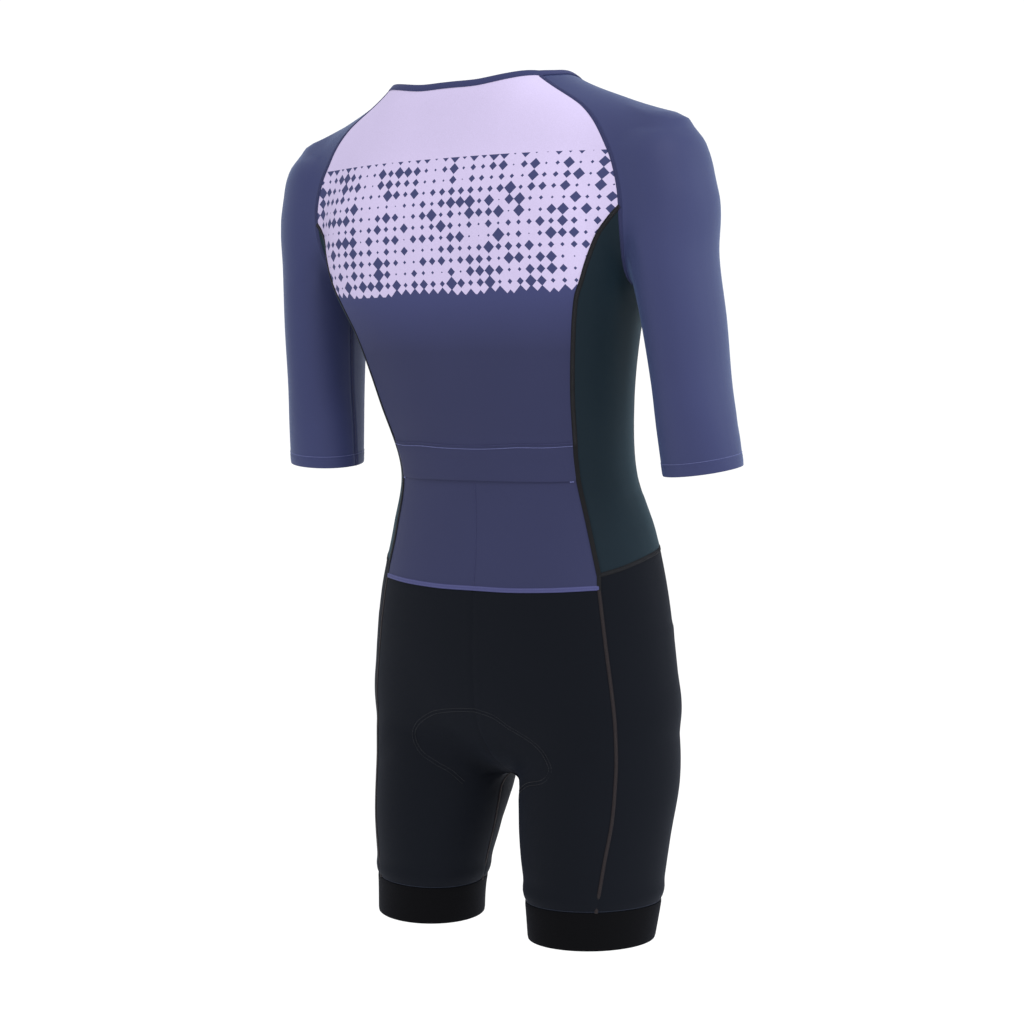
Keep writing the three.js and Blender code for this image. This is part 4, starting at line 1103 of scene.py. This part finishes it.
gripper_line = gripper_top + np.array([0, 0, 1.3])
both_sides(stitches, "stitch_gripper", gripper_line, 2.4, 2.0, 0.24, gripper_thread, rise=0.4,
           lift=lambda p: swell(p) - 0.1)
pad_line = joined(seam(PAD_STITCH_RIGHT, 120)[::-1], seam(PAD_STITCH_LEFT, 120))
stitches("stitch_pad_outline", pad_line, 2.6, 2.1, 0.24, black_thread, rise=0.4)
stitches("stitch_pad_outline_in", pad_line, 2.6, 2.1, 0.2, black_thread, rise=0.36, sideways=3.4)

neck_stitch = settle(neck_line - neck_up * -1.2, 4)
stitches("stitch_neck", neck_stitch, 2.6, 2.1, 0.18, navy_thread, rise=1.15)


# Bar tacks at the ends of the pocket's mouth
def bar_tack(name, centre):
    across = unit(np.array([[-1.0, 0.0, 0.0]]))[0]
    line = settle(np.array(centre, float) + np.linspace(-1, 1, 9)[:, None] * across * 2.4)
    return zigzag(line, 0.9, 0.6, 0.2, 1.1, name, light_thread)


bar_tack("tack_pocket_right", (-101, 7, -397))
bar_tack("tack_pocket_left", (101, 7, -397))

# Front zip: tape, two rows of teeth, and top stitching on the fronts
zip_grid = np.stack([mirrored(front_edge), settle(front_edge * np.array([0, 1, 1])), front_edge], 1)
zip_wide = np.stack([zip_grid[:, 0] * (1 - t) + zip_grid[:, 2] * t for t in np.linspace(0.02, 0.98, 7)], 1)
zip_normal = outward(zip_wide)
tape_outer = zip_wide - zip_normal * 0.35
shell("zip_tape", tape_outer, tape_outer - zip_normal * 0.7, zip_tape, {"cloth": cloth_map(zip_wide)},
      node="zip_strip", slot="elastic")


def zip_teeth():
    """Moulded teeth: a rounded block on each side of the middle by turns, one every 1.5 mm."""
    middle = front_edge * np.array([0, 1, 1])
    middle = evenly(middle, int(arc(middle)[-1] / 1.5))[9:-1]
    tangent, normal, side = frames(middle)
    out = np.where(np.arange(len(middle)) % 2, 1.0, -1.0)[:, None]
    block = np.array([
        (-0.7, -0.5, -0.35), (2.1, -0.5, -0.35), (2.1, 0.5, -0.35), (-0.7, 0.5, -0.35),
        (-0.7, -0.42, 0.45), (1.9, -0.42, 0.45), (1.9, 0.42, 0.45), (-0.7, 0.42, 0.45)])
    points = (middle[:, None] + (side * out)[:, None] * block[None, :, :1]
              + tangent[:, None] * block[None, :, 1:2] + normal[:, None] * block[None, :, 2:])
    cube = np.array([(0, 3, 2, 1), (4, 5, 6, 7), (0, 1, 5, 4), (1, 2, 6, 5), (2, 3, 7, 6), (3, 0, 4, 7)])
    faces = (cube[None] + (np.arange(len(middle)) * 8)[:, None, None])
    flipped = np.arange(len(middle)) % 2 == 0
    faces[flipped] = faces[flipped][:, :, ::-1]
    return piece("zip_teeth", points, faces.reshape(-1, 4), zip_plastic, {"cloth": np.zeros((points.shape[0] * 8, 2))},
                 sharp=0.5)


def satin(name, base, metallic=0.0, rough=0.35):
    """Smooth moulded or painted metal: fine wear in the roughness, and faint orange peel."""
    f = Finish(name)
    f.shader.inputs["Base Color"].default_value = base
    f.shader.inputs["Metallic"].default_value = metallic
    wear = f.ramp(f.noise(420, 3.0), 0.35, 0.65)
    f.set(f.shader.inputs["Roughness"], f.math("ADD", f.math("MULTIPLY", wear, 0.16), rough))
    bump_node = f.add("Bump", {"Strength": 0.08, "Distance": 0.0002, "Height": f.noise(1500, 2.0)})
    f.set(f.shader.inputs["Normal"], bump_node.outputs[0])
    return f.material


zip_plastic = satin("zip_plastic", colour(34, 36, 48), rough=0.38)
slider_metal = satin("slider_metal", colour(60, 62, 70), metallic=0.8, rough=0.3)
zip_teeth()
both_sides(stitches, "stitch_zip", front_edge + np.array([3.2, 0, 0]), 2.6, 2.1, 0.2, navy_thread, rise=0.4)
for node in ("zip_slider", "zip_pull"):
    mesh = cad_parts[node].data
    mesh.materials.clear()
    mesh.materials.append(slider_metal)


# Seat pad: moulded foam inside the shorts, thick in two lobes with a channel between
def seat_pad():
    """The closed crowned form between the pad's outline and its middle line: thickness
    1.5 + 3.6 sqrt(sin across sin along), less sewn channels that run along it."""
    rows, half = 90, 22
    edge = seam(PAD_EDGE, rows)
    middle = seam(PAD_MIDDLE, rows)
    t = np.abs(np.arange(-half, half + 1)) / half
    left = mirrored(edge)
    grid = np.empty((rows + 1, 2 * half + 1, 3))
    for i, k in enumerate(range(-half, half + 1)):
        share = t[i] ** 1.3
        grid[:, i] = middle * (1 - share) + (left if k < 0 else edge) * share
    grid = settle(grid)
    normal = outward(grid)
    y = grid[..., 1]
    depth = 4.0 + 4 * smooth((-40 - y) / 40)
    across = np.sin(np.pi * np.linspace(0, 1, 2 * half + 1))[None]
    along = np.sin(np.pi * np.linspace(0, 1, rows + 1))[:, None]
    crown = 1.5 + 3.4 * np.sqrt(np.clip(across * along, 0, 1))
    channel = 1.4 * np.exp(-(grid[..., 0] / 4.0) ** 2) + 0.9 * np.exp(-((t[None] - 0.55) / 0.05) ** 2)
    crown = np.maximum(crown - channel * np.sqrt(along), 0.6)
    outer = grid - normal * depth[..., None]
    inner = outer - normal * crown[..., None]
    return shell("pad_seat", outer, inner, pad_fleece, {"cloth": cloth_map(grid)}, node="seat_pad", slot="seat_pad")


pad_fleece = knit("pad_fleece", colour(40, 42, 50), wale=1.4, course=1.4, sheen=0.5, bump=0.4, rough=0.8)
pad = seat_pad()


# Camera: azimuth and height of the photograph's view, in degrees, and its distance in metres
CAMERA_AZIMUTH = 33.0
CAMERA_HEIGHT = 3.43
CAMERA_DISTANCE = 2.0
CAMERA_AIM = Vector((0, -0.05, -0.433))
FOCAL_PIXELS = 1928
SHIFT_PIXELS = 5.3

# Studio: the floor's height, and the lights as name, place, size, power and tint
FLOOR_Z = -1.9
LIGHTS = [
    ("key", (-1.9, 1.5, 1.6), 0.9, 34, (1.0, 1.0, 1.0)),
    ("rim", (-2.2, -0.7, 0.4), 0.9, 16, (0.8, 0.9, 1.0)),
]


def studio_floor():
    mesh = bpy.data.meshes.new("floor")
    corners = [(-12, -12, FLOOR_Z), (12, -12, FLOOR_Z), (12, 12, FLOOR_Z), (-12, 12, FLOOR_Z)]
    mesh.from_pydata(corners, [], [(0, 1, 2, 3)])
    floor = bpy.data.objects.new("floor", mesh)
    bpy.context.scene.collection.objects.link(floor)
    f = Finish("floor_paint")
    f.shader.inputs["Base Color"].default_value = (1, 1, 1, 1)
    f.shader.inputs["Roughness"].default_value = 0.9
    mesh.materials.append(f.material)


def area_light(name, place, aim, size, power, tint=(1, 1, 1)):
    light = bpy.data.lights.new(name, "AREA")
    light.shape = "DISK"
    light.size = size
    light.energy = power
    light.color = tint
    thing = bpy.data.objects.new(name, light)
    thing.location = place
    thing.rotation_euler = (Vector(aim) - Vector(place)).to_track_quat("-Z", "Y").to_euler()
    bpy.context.scene.collection.objects.link(thing)


def studio():
    """White surroundings light the cloth softly; a key from the camera's upper right and a cool
    rim give the form. Screen values are shown as they are, so that white stays white."""
    studio_floor()
    world = bpy.data.worlds.new("studio")
    world.use_nodes = True
    background = world.node_tree.nodes["Background"]
    background.inputs["Color"].default_value = (1, 1, 1, 1)
    background.inputs["Strength"].default_value = 1.06
    bpy.context.scene.world = world
    bpy.context.scene.view_settings.view_transform = "Standard"
    for name, place, size, power, tint in LIGHTS:
        area_light(name, place, (0, 0, -0.35), size, power, tint)


def camera():
    data = bpy.data.cameras.new("camera")
    data.sensor_width = 36
    data.lens = 36 * FOCAL_PIXELS / 1024
    data.shift_x = -SHIFT_PIXELS / 1024
    azimuth, height = np.radians(CAMERA_AZIMUTH), np.radians(CAMERA_HEIGHT)
    back = Vector((-np.sin(azimuth) * np.cos(height), np.cos(azimuth) * np.cos(height), np.sin(height)))
    thing = bpy.data.objects.new("camera", data)
    thing.location = CAMERA_AIM + back * CAMERA_DISTANCE
    thing.rotation_euler = (-back).to_track_quat("-Z", "Y").to_euler()
    bpy.context.scene.collection.objects.link(thing)
    bpy.context.scene.camera = thing


studio()
camera()
